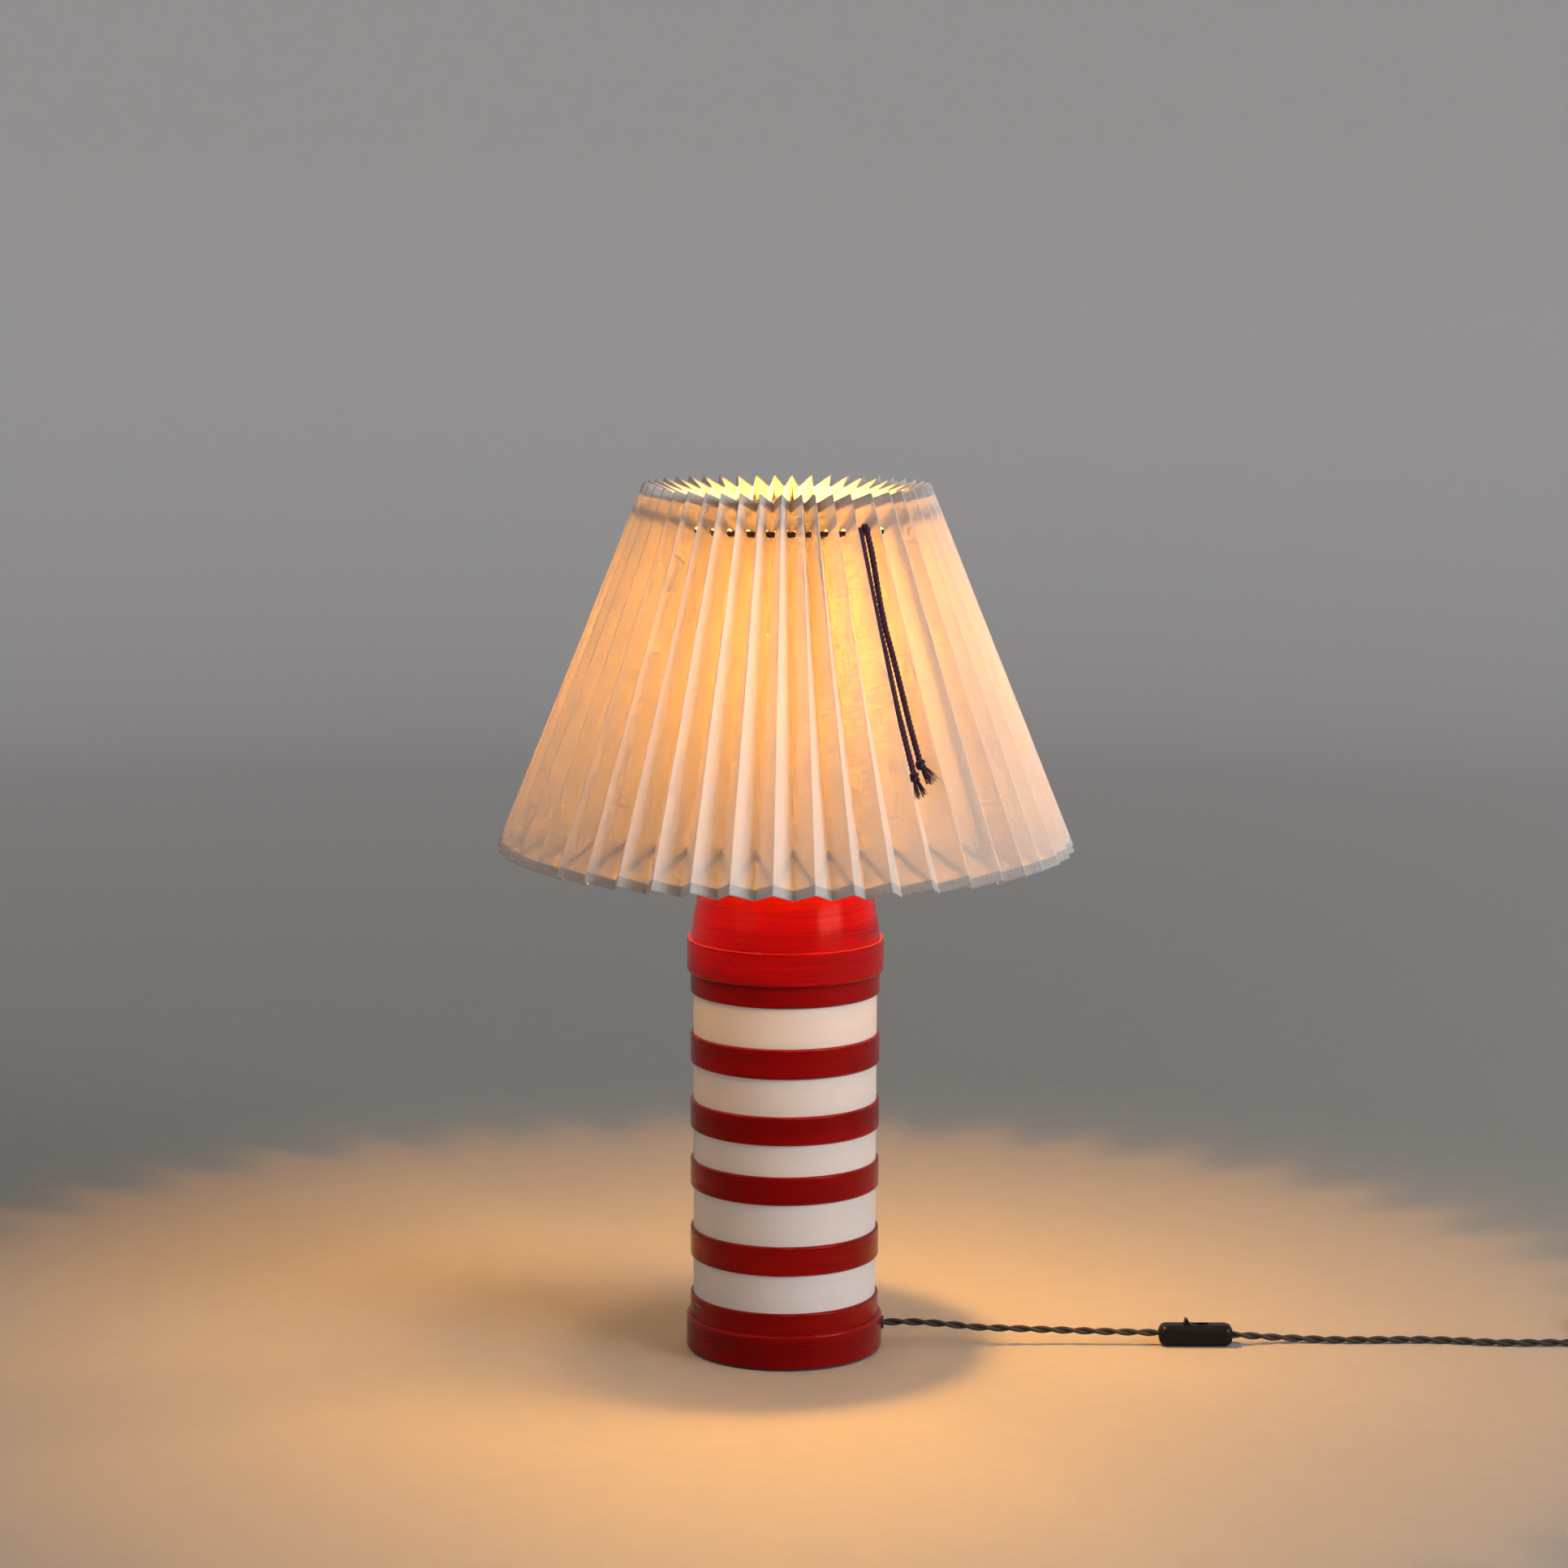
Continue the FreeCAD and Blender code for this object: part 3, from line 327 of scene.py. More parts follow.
def carried_frames(points, closed=False):
    """Directions across the line at each point that turn as little as possible."""
    ahead = np.gradient(points, axis=0)
    if closed:
        ahead = np.roll(points, -1, axis=0) - np.roll(points, 1, axis=0)
    ahead /= np.linalg.norm(ahead, axis=1)[:, None]
    first = np.cross(ahead[0], (0, 0, 1) if abs(ahead[0][2]) < 0.9 else (1, 0, 0))
    side = first / np.linalg.norm(first)
    sides = []
    for direction in ahead:
        side = side - direction * np.dot(side, direction)
        side = side / np.linalg.norm(side)
        sides.append(side)
    sides = np.array(sides)
    return ahead, sides, np.cross(ahead, sides)


def tube_faces(rings, around, first=0, closed=False):
    """Faces of a tube with this many rings, with its ends filled."""
    faces = []
    for i in range(rings if closed else rings - 1):
        low = first + i * around
        high = first + ((i + 1) % rings) * around
        for k in range(around):
            n = (k + 1) % around
            faces.append((low + k, low + n, high + n, high + k))
    if not closed:
        faces.append(tuple(first + k for k in range(around))[::-1])
        faces.append(tuple(first + (rings - 1) * around + k for k in range(around)))
    return faces


def set_tube_uv(mesh, around, lengths, closed=False):
    """UV of tubes: across counts round the tube, up is the length along it in metres."""
    layer = mesh.uv_layers.new(name="along")
    coordinates = np.zeros((len(mesh.loops), 2), np.float32)
    vertex = np.zeros(len(mesh.loops), np.int64)
    mesh.loops.foreach_get("vertex_index", vertex)
    starts = np.zeros(len(mesh.polygons), np.int64)
    totals = np.zeros(len(mesh.polygons), np.int64)
    mesh.polygons.foreach_get("loop_start", starts)
    mesh.polygons.foreach_get("loop_total", totals)
    k = vertex % around
    ring = vertex // around
    coordinates[:, 0] = k / around
    coordinates[:, 1] = lengths[ring]
    quads = starts[totals == 4]
    for corner in (1, 2):
        wrapped = quads + corner
        wrapped = wrapped[k[wrapped] == 0]
        coordinates[wrapped, 0] = 1.0
    if closed:
        step = lengths[1] - lengths[0]
        for corner in (2, 3):
            over = quads + corner
            over = over[ring[over] < ring[quads]]
            coordinates[over, 1] = lengths[-1] + step
    layer.data.foreach_set("uv", coordinates.ravel())


def twisted_strands(name, line, strands, strand_radius, lay_radius, pitch, finish,
                    around, step, closed=False, turn=0.0):
    """Strands laid round a line as in a rope, as one object."""
    points, along = (line, None) if closed else spaced(line, step)
    if closed:
        runs = np.linalg.norm(np.roll(points, -1, axis=0) - points, axis=1)
        along = np.concatenate([[0], np.cumsum(runs)[:-1]])
        total = runs.sum()
        pitch = total / round(total / pitch)
    _, side, up = carried_frames(points, closed)
    count = len(points)
    angles = np.linspace(0, 2 * math.pi, around, endpoint=False)
    vertices = []
    faces = []
    lengths = []
    for s in range(strands):
        phase = 2 * math.pi * (along / pitch + s / strands) + turn
        centre = points + lay_radius * (np.cos(phase)[:, None] * side
                                        + np.sin(phase)[:, None] * up)
        if closed:
            heading = np.roll(centre, -1, axis=0) - np.roll(centre, 1, axis=0)
        else:
            heading = np.gradient(centre, axis=0)
        heading /= np.linalg.norm(heading, axis=1)[:, None]
        out = centre - points
        out -= heading * np.sum(out * heading, axis=1)[:, None]
        out /= np.linalg.norm(out, axis=1)[:, None]
        across = np.cross(heading, out)
        ring = (centre[:, None, :]
                + strand_radius * np.cos(angles)[None, :, None] * out[:, None, :]
                + strand_radius * np.sin(angles)[None, :, None] * across[:, None, :])
        faces += tube_faces(count, around, s * count * around, closed)
        vertices.append(ring.reshape(-1, 3))
        lengths.append(along)
    made = add_mesh(name, np.concatenate(vertices), faces, [finish])
    set_tube_uv(made.data, around, np.concatenate(lengths), closed)
    return made, points


# --------------------------------------------------------------------- shader tools
def put(tree, kind, inputs=None, **settings):
    """A node of this kind, with its settings made and its inputs set or joined."""
    made = tree.nodes.new(kind)
    for key, value in settings.items():
        setattr(made, key, value)
    for key, value in (inputs or {}).items():
        if isinstance(value, bpy.types.NodeSocket):
            tree.links.new(value, made.inputs[key])
        else:
            made.inputs[key].default_value = value
    return made


def new_effect(name, inputs, outputs):
    """An empty shader group with these sockets, and its two end nodes."""
    tree = bpy.data.node_groups.new(name, "ShaderNodeTree")
    for label, kind, value in inputs:
        socket = tree.interface.new_socket(label, in_out="INPUT", socket_type=kind)
        socket.default_value = value
    for label, kind in outputs:
        tree.interface.new_socket(label, in_out="OUTPUT", socket_type=kind)
    return tree, put(tree, "NodeGroupInput"), put(tree, "NodeGroupOutput")


def calc(tree, operation, first, second=0.0):
    """The result of a Math node."""
    return put(tree, "ShaderNodeMath", {0: first, 1: second}, operation=operation).outputs[0]


def brush_marks_effect():
    """Long level brush marks round a turned piece."""
    tree, start, end = new_effect(
        "Brush Marks",
        [("Marks per metre", "NodeSocketFloat", 900.0), ("Marks round", "NodeSocketFloat", 14.0)],
        [("Height", "NodeSocketFloat"), ("Tone", "NodeSocketFloat")])
    place = put(tree, "ShaderNodeTexCoord").outputs["Object"]
    split = put(tree, "ShaderNodeSeparateXYZ", {0: place})
    level = put(tree, "ShaderNodeCombineXYZ", {
        0: calc(tree, "MULTIPLY", split.outputs[0], start.outputs[1]),
        1: calc(tree, "MULTIPLY", split.outputs[1], start.outputs[1]),
        2: calc(tree, "MULTIPLY", split.outputs[2], start.outputs[0])})
    fine = put(tree, "ShaderNodeTexNoise", {"Vector": level.outputs[0], "Scale": 1.0,
                                           "Detail": 4.0, "Roughness": 0.65})
    broad_place = put(tree, "ShaderNodeVectorMath", {0: level.outputs[0], 1: (0.6, 0.6, 0.11)},
                      operation="MULTIPLY")
    broad = put(tree, "ShaderNodeTexNoise", {"Vector": broad_place.outputs[0], "Scale": 1.0,
                                            "Detail": 3.0, "Roughness": 0.55})
    tone = calc(tree, "ADD", calc(tree, "MULTIPLY", fine.outputs[0], 0.45),
                calc(tree, "MULTIPLY", broad.outputs[0], 0.55))
    tree.links.new(fine.outputs[0], end.inputs[0])
    tree.links.new(tone, end.inputs[1])
    return tree


def linen_effect():
    """Plain weave with slubs, from UV in metres of cloth."""
    tree, start, end = new_effect(
        "Linen Weave",
        [("Thread", "NodeSocketFloat", 0.0007), ("Slub", "NodeSocketFloat", 1.0)],
        [("Height", "NodeSocketFloat"), ("Tone", "NodeSocketFloat")])
    cloth = put(tree, "ShaderNodeUVMap", uv_map="cloth").outputs[0]
    wander = put(tree, "ShaderNodeTexNoise", {"Vector": cloth, "Scale": 260.0, "Detail": 2.0})
    drift = calc(tree, "MULTIPLY", calc(tree, "SUBTRACT", wander.outputs[0], 0.5), 1.6)
    split = put(tree, "ShaderNodeSeparateXYZ", {0: cloth})
    rise = []
    for axis in (0, 1):
        count = calc(tree, "DIVIDE", split.outputs[axis], start.outputs[0])
        turn = calc(tree, "MULTIPLY", calc(tree, "ADD", count, drift), 2 * math.pi)
        rise.append(calc(tree, "SINE", turn))
    weave = calc(tree, "MULTIPLY", rise[0], rise[1])
    slubs = []
    for stretch in ((520.0, 60.0, 1.0), (60.0, 500.0, 1.0)):
        place = put(tree, "ShaderNodeVectorMath", {0: cloth, 1: stretch}, operation="MULTIPLY")
        noise = put(tree, "ShaderNodeTexNoise", {"Vector": place.outputs[0], "Scale": 1.0,
                                                "Detail": 2.0, "Roughness": 0.6})
        slub = put(tree, "ShaderNodeMapRange", {"Value": noise.outputs[0], "From Min": 0.46,
                                               "From Max": 0.70, "To Max": 0.34})
        slubs.append(slub.outputs[0])
    thick = calc(tree, "MULTIPLY", calc(tree, "ADD", slubs[0], slubs[1]), start.outputs[1])
    height = calc(tree, "ADD", calc(tree, "MULTIPLY", weave, 0.22), thick)
    # A little of the weave's relief goes into the tone: painted shade between the threads. The
    # slubs' lighter tone is the cloth's own.
    tone = calc(tree, "ADD", calc(tree, "MULTIPLY", weave, 0.03), thick)
    tree.links.new(height, end.inputs[0])
    tree.links.new(tone, end.inputs[1])
    return tree


def yarn_effect():
    """Fibres that wind round a strand, from UV along the strand."""
    tree, start, end = new_effect(
        "Wound Yarn",
        [("Yarns", "NodeSocketFloat", 4.0), ("Turns per metre", "NodeSocketFloat", 160.0),
         ("Both ways", "NodeSocketFloat", 0.0)],
        [("Height", "NodeSocketFloat"), ("Tone", "NodeSocketFloat")])
    place = put(tree, "ShaderNodeUVMap", uv_map="along").outputs[0]
    split = put(tree, "ShaderNodeSeparateXYZ", {0: place})
    round_it = calc(tree, "MULTIPLY", split.outputs[0], start.outputs[0])
    along = calc(tree, "MULTIPLY", split.outputs[1], start.outputs[1])
    waves = []
    for operation in ("ADD", "SUBTRACT"):
        turn = calc(tree, "MULTIPLY", calc(tree, operation, round_it, along), 2 * math.pi)
        waves.append(calc(tree, "SINE", turn))
    crossed = calc(tree, "MULTIPLY", calc(tree, "MULTIPLY", waves[0], waves[1]),
                   start.outputs[2])
    single = calc(tree, "MULTIPLY", waves[0],
                  calc(tree, "SUBTRACT", 1.0, start.outputs[2]))
    fuzz_place = put(tree, "ShaderNodeTexCoord").outputs["Object"]
    fuzz = put(tree, "ShaderNodeTexNoise", {"Vector": fuzz_place, "Scale": 1800.0,
                                           "Detail": 3.0, "Roughness": 0.7})
    fibre = calc(tree, "SUBTRACT", fuzz.outputs[0], 0.5)
    height = calc(tree, "ADD", calc(tree, "ADD", crossed, single), fibre)
    # The tone follows the relief: darker in the grooves between the wound yarns, painted shade,
    # and lighter on their crowns, painted light, with the fibres' own random tone.
    tone = calc(tree, "ADD", calc(tree, "MULTIPLY", height, 0.25), 0.5)
    tree.links.new(height, end.inputs[0])
    tree.links.new(tone, end.inputs[1])
    return tree


def handling_effect():
    """Soft smudges, fine grain and dust from handling."""
    tree, start, end = new_effect(
        "Handling Marks",
        [("Grain", "NodeSocketFloat", 900.0), ("Smooth", "NodeSocketFloat", 0.3),
         ("Rough", "NodeSocketFloat", 0.45)],
        [("Roughness", "NodeSocketFloat"), ("Height", "NodeSocketFloat"),
         ("Tone", "NodeSocketFloat")])
    place = put(tree, "ShaderNodeTexCoord").outputs["Object"]
    smudge = put(tree, "ShaderNodeTexNoise", {"Vector": place, "Scale": 45.0, "Detail": 5.0,
                                             "Roughness": 0.6})
    grain = put(tree, "ShaderNodeTexNoise", {"Vector": place, "Scale": start.outputs[0],
                                            "Detail": 2.0})
    spread = put(tree, "ShaderNodeMapRange", {"Value": smudge.outputs[0], "From Min": 0.35,
                                             "From Max": 0.65, "To Min": start.outputs[1],
                                             "To Max": start.outputs[2]})
    tree.links.new(spread.outputs[0], end.inputs[0])
    tree.links.new(grain.outputs[0], end.inputs[1])
    tree.links.new(smudge.outputs[0], end.inputs[2])
    return tree


EFFECT_MAKERS = {"Brush Marks": brush_marks_effect, "Linen Weave": linen_effect,
                 "Wound Yarn": yarn_effect, "Handling Marks": handling_effect}
EFFECTS = {}


def effect(tree, name, **values):
    """A shared effect placed in a material with its own values."""
    if name not in EFFECTS:
        EFFECTS[name] = EFFECT_MAKERS[name]()
    made = tree.nodes.new("ShaderNodeGroup")
    made.node_tree = EFFECTS[name]
    for key, value in values.items():
        made.inputs[key.replace("_", " ")].default_value = value
    return made


def new_finish(name, **uniform):
    """A material whose shader has these plain values, with its tree and shader."""
    finish = bpy.data.materials.new(name)
    finish.use_nodes = True
    tree = finish.node_tree
    shader = tree.nodes["Principled BSDF"]
    for key, value in uniform.items():
        shader.inputs[key.replace("_", " ")].default_value = value
    return finish, tree, shader


def tint(tree, shader, mask, dark, light, low=0.35, high=0.65):
    """Base Color between two colours by a mask."""
    ramp = put(tree, "ShaderNodeValToRGB", {0: mask})
    ramp.color_ramp.elements[0].position = low
    ramp.color_ramp.elements[1].position = high
    ramp.color_ramp.elements[0].color = (*dark, 1)
    ramp.color_ramp.elements[1].color = (*light, 1)
    tree.links.new(ramp.outputs[0], shader.inputs["Base Color"])


def bump(tree, shader, height, distance):
    """Relief of this depth on the shader, and its node."""
    made = put(tree, "ShaderNodeBump", {"Height": height, "Distance": distance})
    tree.links.new(made.outputs[0], shader.inputs["Normal"])
    return made


def shaded(colour, share):
    """A share of a colour."""
    return tuple(c * share for c in colour)


def handled_finish(name, colour, smooth, rough, grain=900.0, depth=0.00001, **uniform):
    """Metal, plastic or ceramic with handling marks."""
    finish, tree, shader = new_finish(name, **uniform)
    marks = effect(tree, "Handling Marks", Grain=grain, Smooth=smooth, Rough=rough)
    tree.links.new(marks.outputs["Roughness"], shader.inputs["Roughness"])
    tint(tree, shader, marks.outputs["Tone"], shaded(colour, 0.85), colour)
    bump(tree, shader, marks.outputs["Height"], depth)
    return finish


def give(names, finish):
    """Put a finish on CAD nodes in place of what they came with."""
    for name in names:
        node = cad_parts[name]
        node.data.materials.clear()
        node.data.materials.append(finish)


# ----------------------------------------------------------------------- turned base
def lacquer_finish(name, settings, share):
    """Glossy lacquer laid on with a brush, lighter with a larger share of its colour; a share
    above one is painted light.
    """
    finish, tree, shader = new_finish(name, IOR=1.45, Coat_Weight=0.04,
                                      Coat_Roughness=0.08, Specular_IOR_Level=0.45,
                                      Specular_Tint=(1.0, 0.12, 0.05, 1.0))
    marks = effect(tree, "Brush Marks", Marks_per_metre=620.0, Marks_round=11.0)
    tint(tree, shader, marks.outputs["Tone"], shaded(settings.lacquer, share),
         shaded(settings.lacquer_streak, share), 0.38, 0.66)
    rough = put(tree, "ShaderNodeMapRange", {"Value": marks.outputs["Tone"], "From Min": 0.35,
                                            "From Max": 0.65, "To Min": 0.30, "To Max": 0.18})
    tree.links.new(rough.outputs[0], shader.inputs["Roughness"])
    bump(tree, shader, marks.outputs["Height"], settings.stroke_height)
    return finish


def band_finish(settings):
    """White eggshell paint laid on with a brush."""
    finish, tree, shader = new_finish("white_eggshell", IOR=1.45)
    marks = effect(tree, "Brush Marks", Marks_per_metre=500.0, Marks_round=9.0)
    tint(tree, shader, marks.outputs["Tone"], shaded(settings.band, 0.93), settings.band)
    rough = put(tree, "ShaderNodeMapRange", {"Value": marks.outputs["Tone"], "From Min": 0.3,
                                            "From Max": 0.7, "To Min": 0.5, "To Max": 0.62})
    tree.links.new(rough.outputs[0], shader.inputs["Roughness"])
    bump(tree, shader, marks.outputs["Height"], 0.00004)
    return finish


def raw_wood_finish():
    """Bare turned wood, inside the base and under its foot."""
    finish, tree, shader = new_finish("raw_wood", Roughness=0.8)
    marks = effect(tree, "Brush Marks", Marks_per_metre=160.0, Marks_round=60.0)
    tint(tree, shader, marks.outputs["Tone"], (0.26, 0.17, 0.09), (0.44, 0.31, 0.19))
    bump(tree, shader, marks.outputs["Height"], 0.00006)
    return finish


def column_inside(height):
    """Radius within which the column is bare wood."""
    return np.full_like(height, COLUMN_INSIDE)


def dome_inside(height):
    """Radius of the hollow in the dome at each height."""
    rise = (height - DOME_SPRING) / DOME_RISE
    return DOME_INSIDE * np.sqrt(np.clip(1 - rise ** 2, 0, 1))


def turned_faces(node, foot, bands, inside):
    """Set the slot of each face of a turned piece: lacquer, band or raw wood."""
    mesh = node.data
    centre = np.zeros(len(mesh.polygons) * 3)
    normal = np.zeros(len(mesh.polygons) * 3)
    mesh.polygons.foreach_get("center", centre)
    mesh.polygons.foreach_get("normal", normal)
    centre = centre.reshape(-1, 3)
    normal = normal.reshape(-1, 3)
    radius = np.hypot(centre[:, 0], centre[:, 1])
    outward = (normal[:, :2] * centre[:, :2]).sum(axis=1) / np.maximum(radius, 1e-6)
    slots = np.zeros(len(radius), np.int32)
    for low, high in bands:
        level = (centre[:, 2] > low) & (centre[:, 2] < high)
        slots[level & (radius < BAND_REACH)] = BAND_SLOT
    slots[(radius < inside(centre[:, 2])) | (outward < -0.5)] = WOOD_SLOT
    slots[centre[:, 2] < foot] = WOOD_SLOT
    mesh.polygons.foreach_set("material_index", slots)


class LAMP_OT_finish_base(bpy.types.Operator):
    """Lacquers the turned base, paints its bands and lays its felt"""
    bl_idname = "lamp.finish_base"
    bl_label = "Finish the base"

    def execute(self, context):
        settings = context.scene.lamp_base
        finishes = [band_finish(settings), raw_wood_finish()]
        # The dome cap's lacquer is half again as light as the column's: painted light from the
        # bulb above it, not a different paint.
        for name, lacquer, share in (("column", "red_lacquer", 1.0),
                                     ("dome_cap", "red_lacquer_cap_painted_light", 1.5)):
            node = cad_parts[name]
            node.data.materials.clear()
            node.data.materials.append(lacquer_finish(lacquer, settings, share))
            for finish in finishes:
                node.data.materials.append(finish)
        turned_faces(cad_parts["column"], COLUMN_FOOT, BANDS, column_inside)
        turned_faces(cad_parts["dome_cap"], DOME_FOOT, [], dome_inside)
        give(["base_disc"], finishes[1])
        felt, tree, shader = new_finish("pressed_felt", Roughness=0.95, Sheen_Weight=0.4)
        marks = effect(tree, "Handling Marks", Grain=1400.0, Smooth=0.9, Rough=1.0)
        tint(tree, shader, marks.outputs["Height"], (0.008, 0.008, 0.009),
             (0.035, 0.034, 0.036))
        bump(tree, shader, marks.outputs["Height"], 0.0004)
        give(["felt_pad"], felt)
        return {"FINISHED"}


# ------------------------------------------------------------------- metal and plastic
class LAMP_OT_finish_fittings(bpy.types.Operator):
    """Finishes the tube, lampholder, shade carrier, wire frame, grommet and switch"""
    bl_idname = "lamp.finish_fittings"
    bl_label = "Finish the fittings"

    def execute(self, context):
        brass = handled_finish("satin_brass", (0.70, 0.47, 0.20), 0.22, 0.36, Metallic=1.0)
        give(["top_seat", "neck_nut", "holder_cap", "holder_skirt", "screw_liner",
              "centre_contact", "clamp_ring", "carrier_ring", "carrier_arms",
              "carrier_gallery", "switch_terminals", "plug_earth_pin", "plug_line_pins"],
             brass)
        zinc = handled_finish("zinc_plate", (0.60, 0.60, 0.58), 0.28, 0.46, Metallic=1.0)
        give(["threaded_tube", "lower_washer", "lower_nut", "switch_screws", "plug_screw"],
             zinc)
        porcelain = handled_finish("porcelain", (0.86, 0.84, 0.80), 0.10, 0.22)
        give(["holder_insulator", "plug_fuse"], porcelain)
        white_wire = handled_finish("white_powder_coat", (0.80, 0.78, 0.73), 0.42, 0.58,
                                    1600.0, 0.00004)
        give(["frame_top_ring", "frame_bottom_ring", "frame_struts", "duplex_ring",
              "duplex_arms"], white_wire)
        plastic = handled_finish("black_plastic", (0.004, 0.004, 0.004), 0.28, 0.40, 1500.0,
                                 0.00001, Specular_IOR_Level=0.18)
        give(["switch_base", "switch_cover", "rocker", "plug_base", "plug_cover",
              "plug_cord_grip", "bulb_insulator"], plastic)
        rubber = handled_finish("black_rubber", (0.010, 0.010, 0.010), 0.5, 0.7, 1200.0, 0.00003)
        give(["grommet"], rubber)
        return {"FINISHED"}


class LAMP_OT_light_bulb(bpy.types.Operator):
    """Lights the frosted bulb and plates its cap"""
    bl_idname = "lamp.light_bulb"
    bl_label = "Light the bulb"

    def execute(self, context):
        settings = context.scene.lamp_light
        glass, tree, shader = new_finish("lit_opal_glass", Roughness=0.35,
                                         Emission_Strength=settings.strength)
        marks = effect(tree, "Handling Marks", Grain=600.0, Smooth=0.3, Rough=0.4)
        tint(tree, shader, marks.outputs["Tone"], (0.90, 0.86, 0.78), (0.95, 0.92, 0.86))
        glow = put(tree, "ShaderNodeValToRGB", {0: marks.outputs["Tone"]})
        glow.color_ramp.elements[0].color = (*shaded(settings.glow, 0.96), 1)
        glow.color_ramp.elements[1].color = (*settings.glow, 1)
        tree.links.new(glow.outputs[0], shader.inputs["Emission Color"])
        give(["bulb_glass"], glass)
        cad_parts["bulb_glass"].visible_shadow = False
        filament = bpy.data.lights.new("filament", "POINT")
        filament.energy = settings.filament
        filament.color = settings.glow
        filament.shadow_soft_size = FILAMENT_RADIUS
        holder = bpy.data.objects.new("filament", filament)
        holder.location = FILAMENT
        context.scene.collection.objects.link(holder)
        nickel = handled_finish("nickel_plate", (0.70, 0.68, 0.63), 0.15, 0.3, Metallic=1.0)
        give(["bulb_cap", "bulb_contact"], nickel)
        return {"FINISHED"}


# ---------------------------------------------------------------------- pleated shade
def fold_turns(unevenness):
    """Azimuth of each fold at its top and its bottom, peaks first, in radians."""
    chance = random.Random(46)
    tops = []
    bottoms = []
    for i in range(2 * PLEATS):
        base = PLEAT_TURN + i * 180.0 / PLEATS
        pleat = i // 2
        stray = math.degrees(unevenness)
        top = chance.uniform(-stray, stray)
        bottom = chance.uniform(-0.6 * stray, 0.6 * stray)
        if i % 2 == 0 and pleat in PEAK_TOP_TURN:
            top = PEAK_TOP_TURN[pleat]
            near = [VALLEY_BOTTOM_TURN.get(pleat - 1, 0.0), VALLEY_BOTTOM_TURN.get(pleat, 0.0)]
            bottom = sum(near) / 2
        if i % 2 == 1 and pleat in VALLEY_BOTTOM_TURN:
            bottom = VALLEY_BOTTOM_TURN[pleat]
            near = [PEAK_TOP_TURN.get(pleat, 0.0), PEAK_TOP_TURN.get(pleat + 1, 0.0)]
            top = sum(near) / 2
        tops.append(math.radians(base + top))
        bottoms.append(math.radians(base + bottom))
    return np.array(tops), np.array(bottoms)


def cover_rows(hem):
    """Shares of the fold's length, closer together at the hems and at the drawstring."""
    edge = hem / FOLD_LENGTH
    low = (HOLE_DOWN - HOLE_BELT) / FOLD_LENGTH
    high = (HOLE_DOWN + HOLE_BELT) / FOLD_LENGTH
    rows = [0, 0.2 * edge, 0.6 * edge, 0.97 * edge, 1.05 * edge, (low + edge) / 2]
    rows += list(np.linspace(low, high, 13))
    rows += list(np.linspace(high, 1 - edge, 25)[1:-1])
    rows += [1 - 1.05 * edge, 1 - 0.97 * edge, 1 - 0.6 * edge, 1 - 0.2 * edge, 1.0]
    return np.array(rows)


COVER_COLUMNS = np.array([0, 0.03, 0.1, 0.22, 0.36, 0.50, 0.53, 0.56, 0.59, 0.62, 0.65,
                          0.68, 0.71, 0.74, 0.77, 0.80, 0.88, 0.94, 0.98])


def panel_shares(panel):
    """Shares of a panel's width, from a peak or, on every other panel, from a valley."""
    if panel % 2 == 0:
        return COVER_COLUMNS
    return np.concatenate([[0], 1 - COVER_COLUMNS[:0:-1]])


def cover_middle(rows, settings):
    """Points of the cloth's middle layer, rows by columns, and how far each column bows."""
    tops, bottoms = fold_turns(settings.unevenness)
    chance = random.Random(7)
    folds = []
    for i in range(2 * PLEATS):
        top, bottom = PEAK if i % 2 == 0 else VALLEY
        radius = top[0] + (bottom[0] - top[0]) * rows
        height = top[1] + (bottom[1] - top[1]) * rows
        turn = tops[i] + (bottoms[i] - tops[i]) * rows ** 0.8
        wave = chance.uniform(0, FOLD_PHASE)
        turn = turn + FOLD_SWAY * np.sin(rows * 7 + wave) * np.sin(math.pi * rows)
        radius = radius + FOLD_RIPPLE * np.sin(rows * 9 + 2 * wave) * np.sin(math.pi * rows)
        folds.append(np.stack([radius * np.sin(turn), -radius * np.cos(turn), height], 1))
    columns = []
    bows = []
    for i in range(2 * PLEATS):
        here = folds[i]
        after = folds[(i + 1) % (2 * PLEATS)]
        bow = chance.uniform(-PANEL_BOW, PANEL_BOW)
        for share in panel_shares(i):
            columns.append(here + (after - here) * share)
            bows.append(bow * math.sin(math.pi * share))
    middle = np.stack(columns, axis=1)
    return middle, np.array(bows)


def unit_rows(vectors):
    """The same directions, one long."""
    return vectors / np.maximum(np.linalg.norm(vectors, axis=-1, keepdims=True), 1e-12)


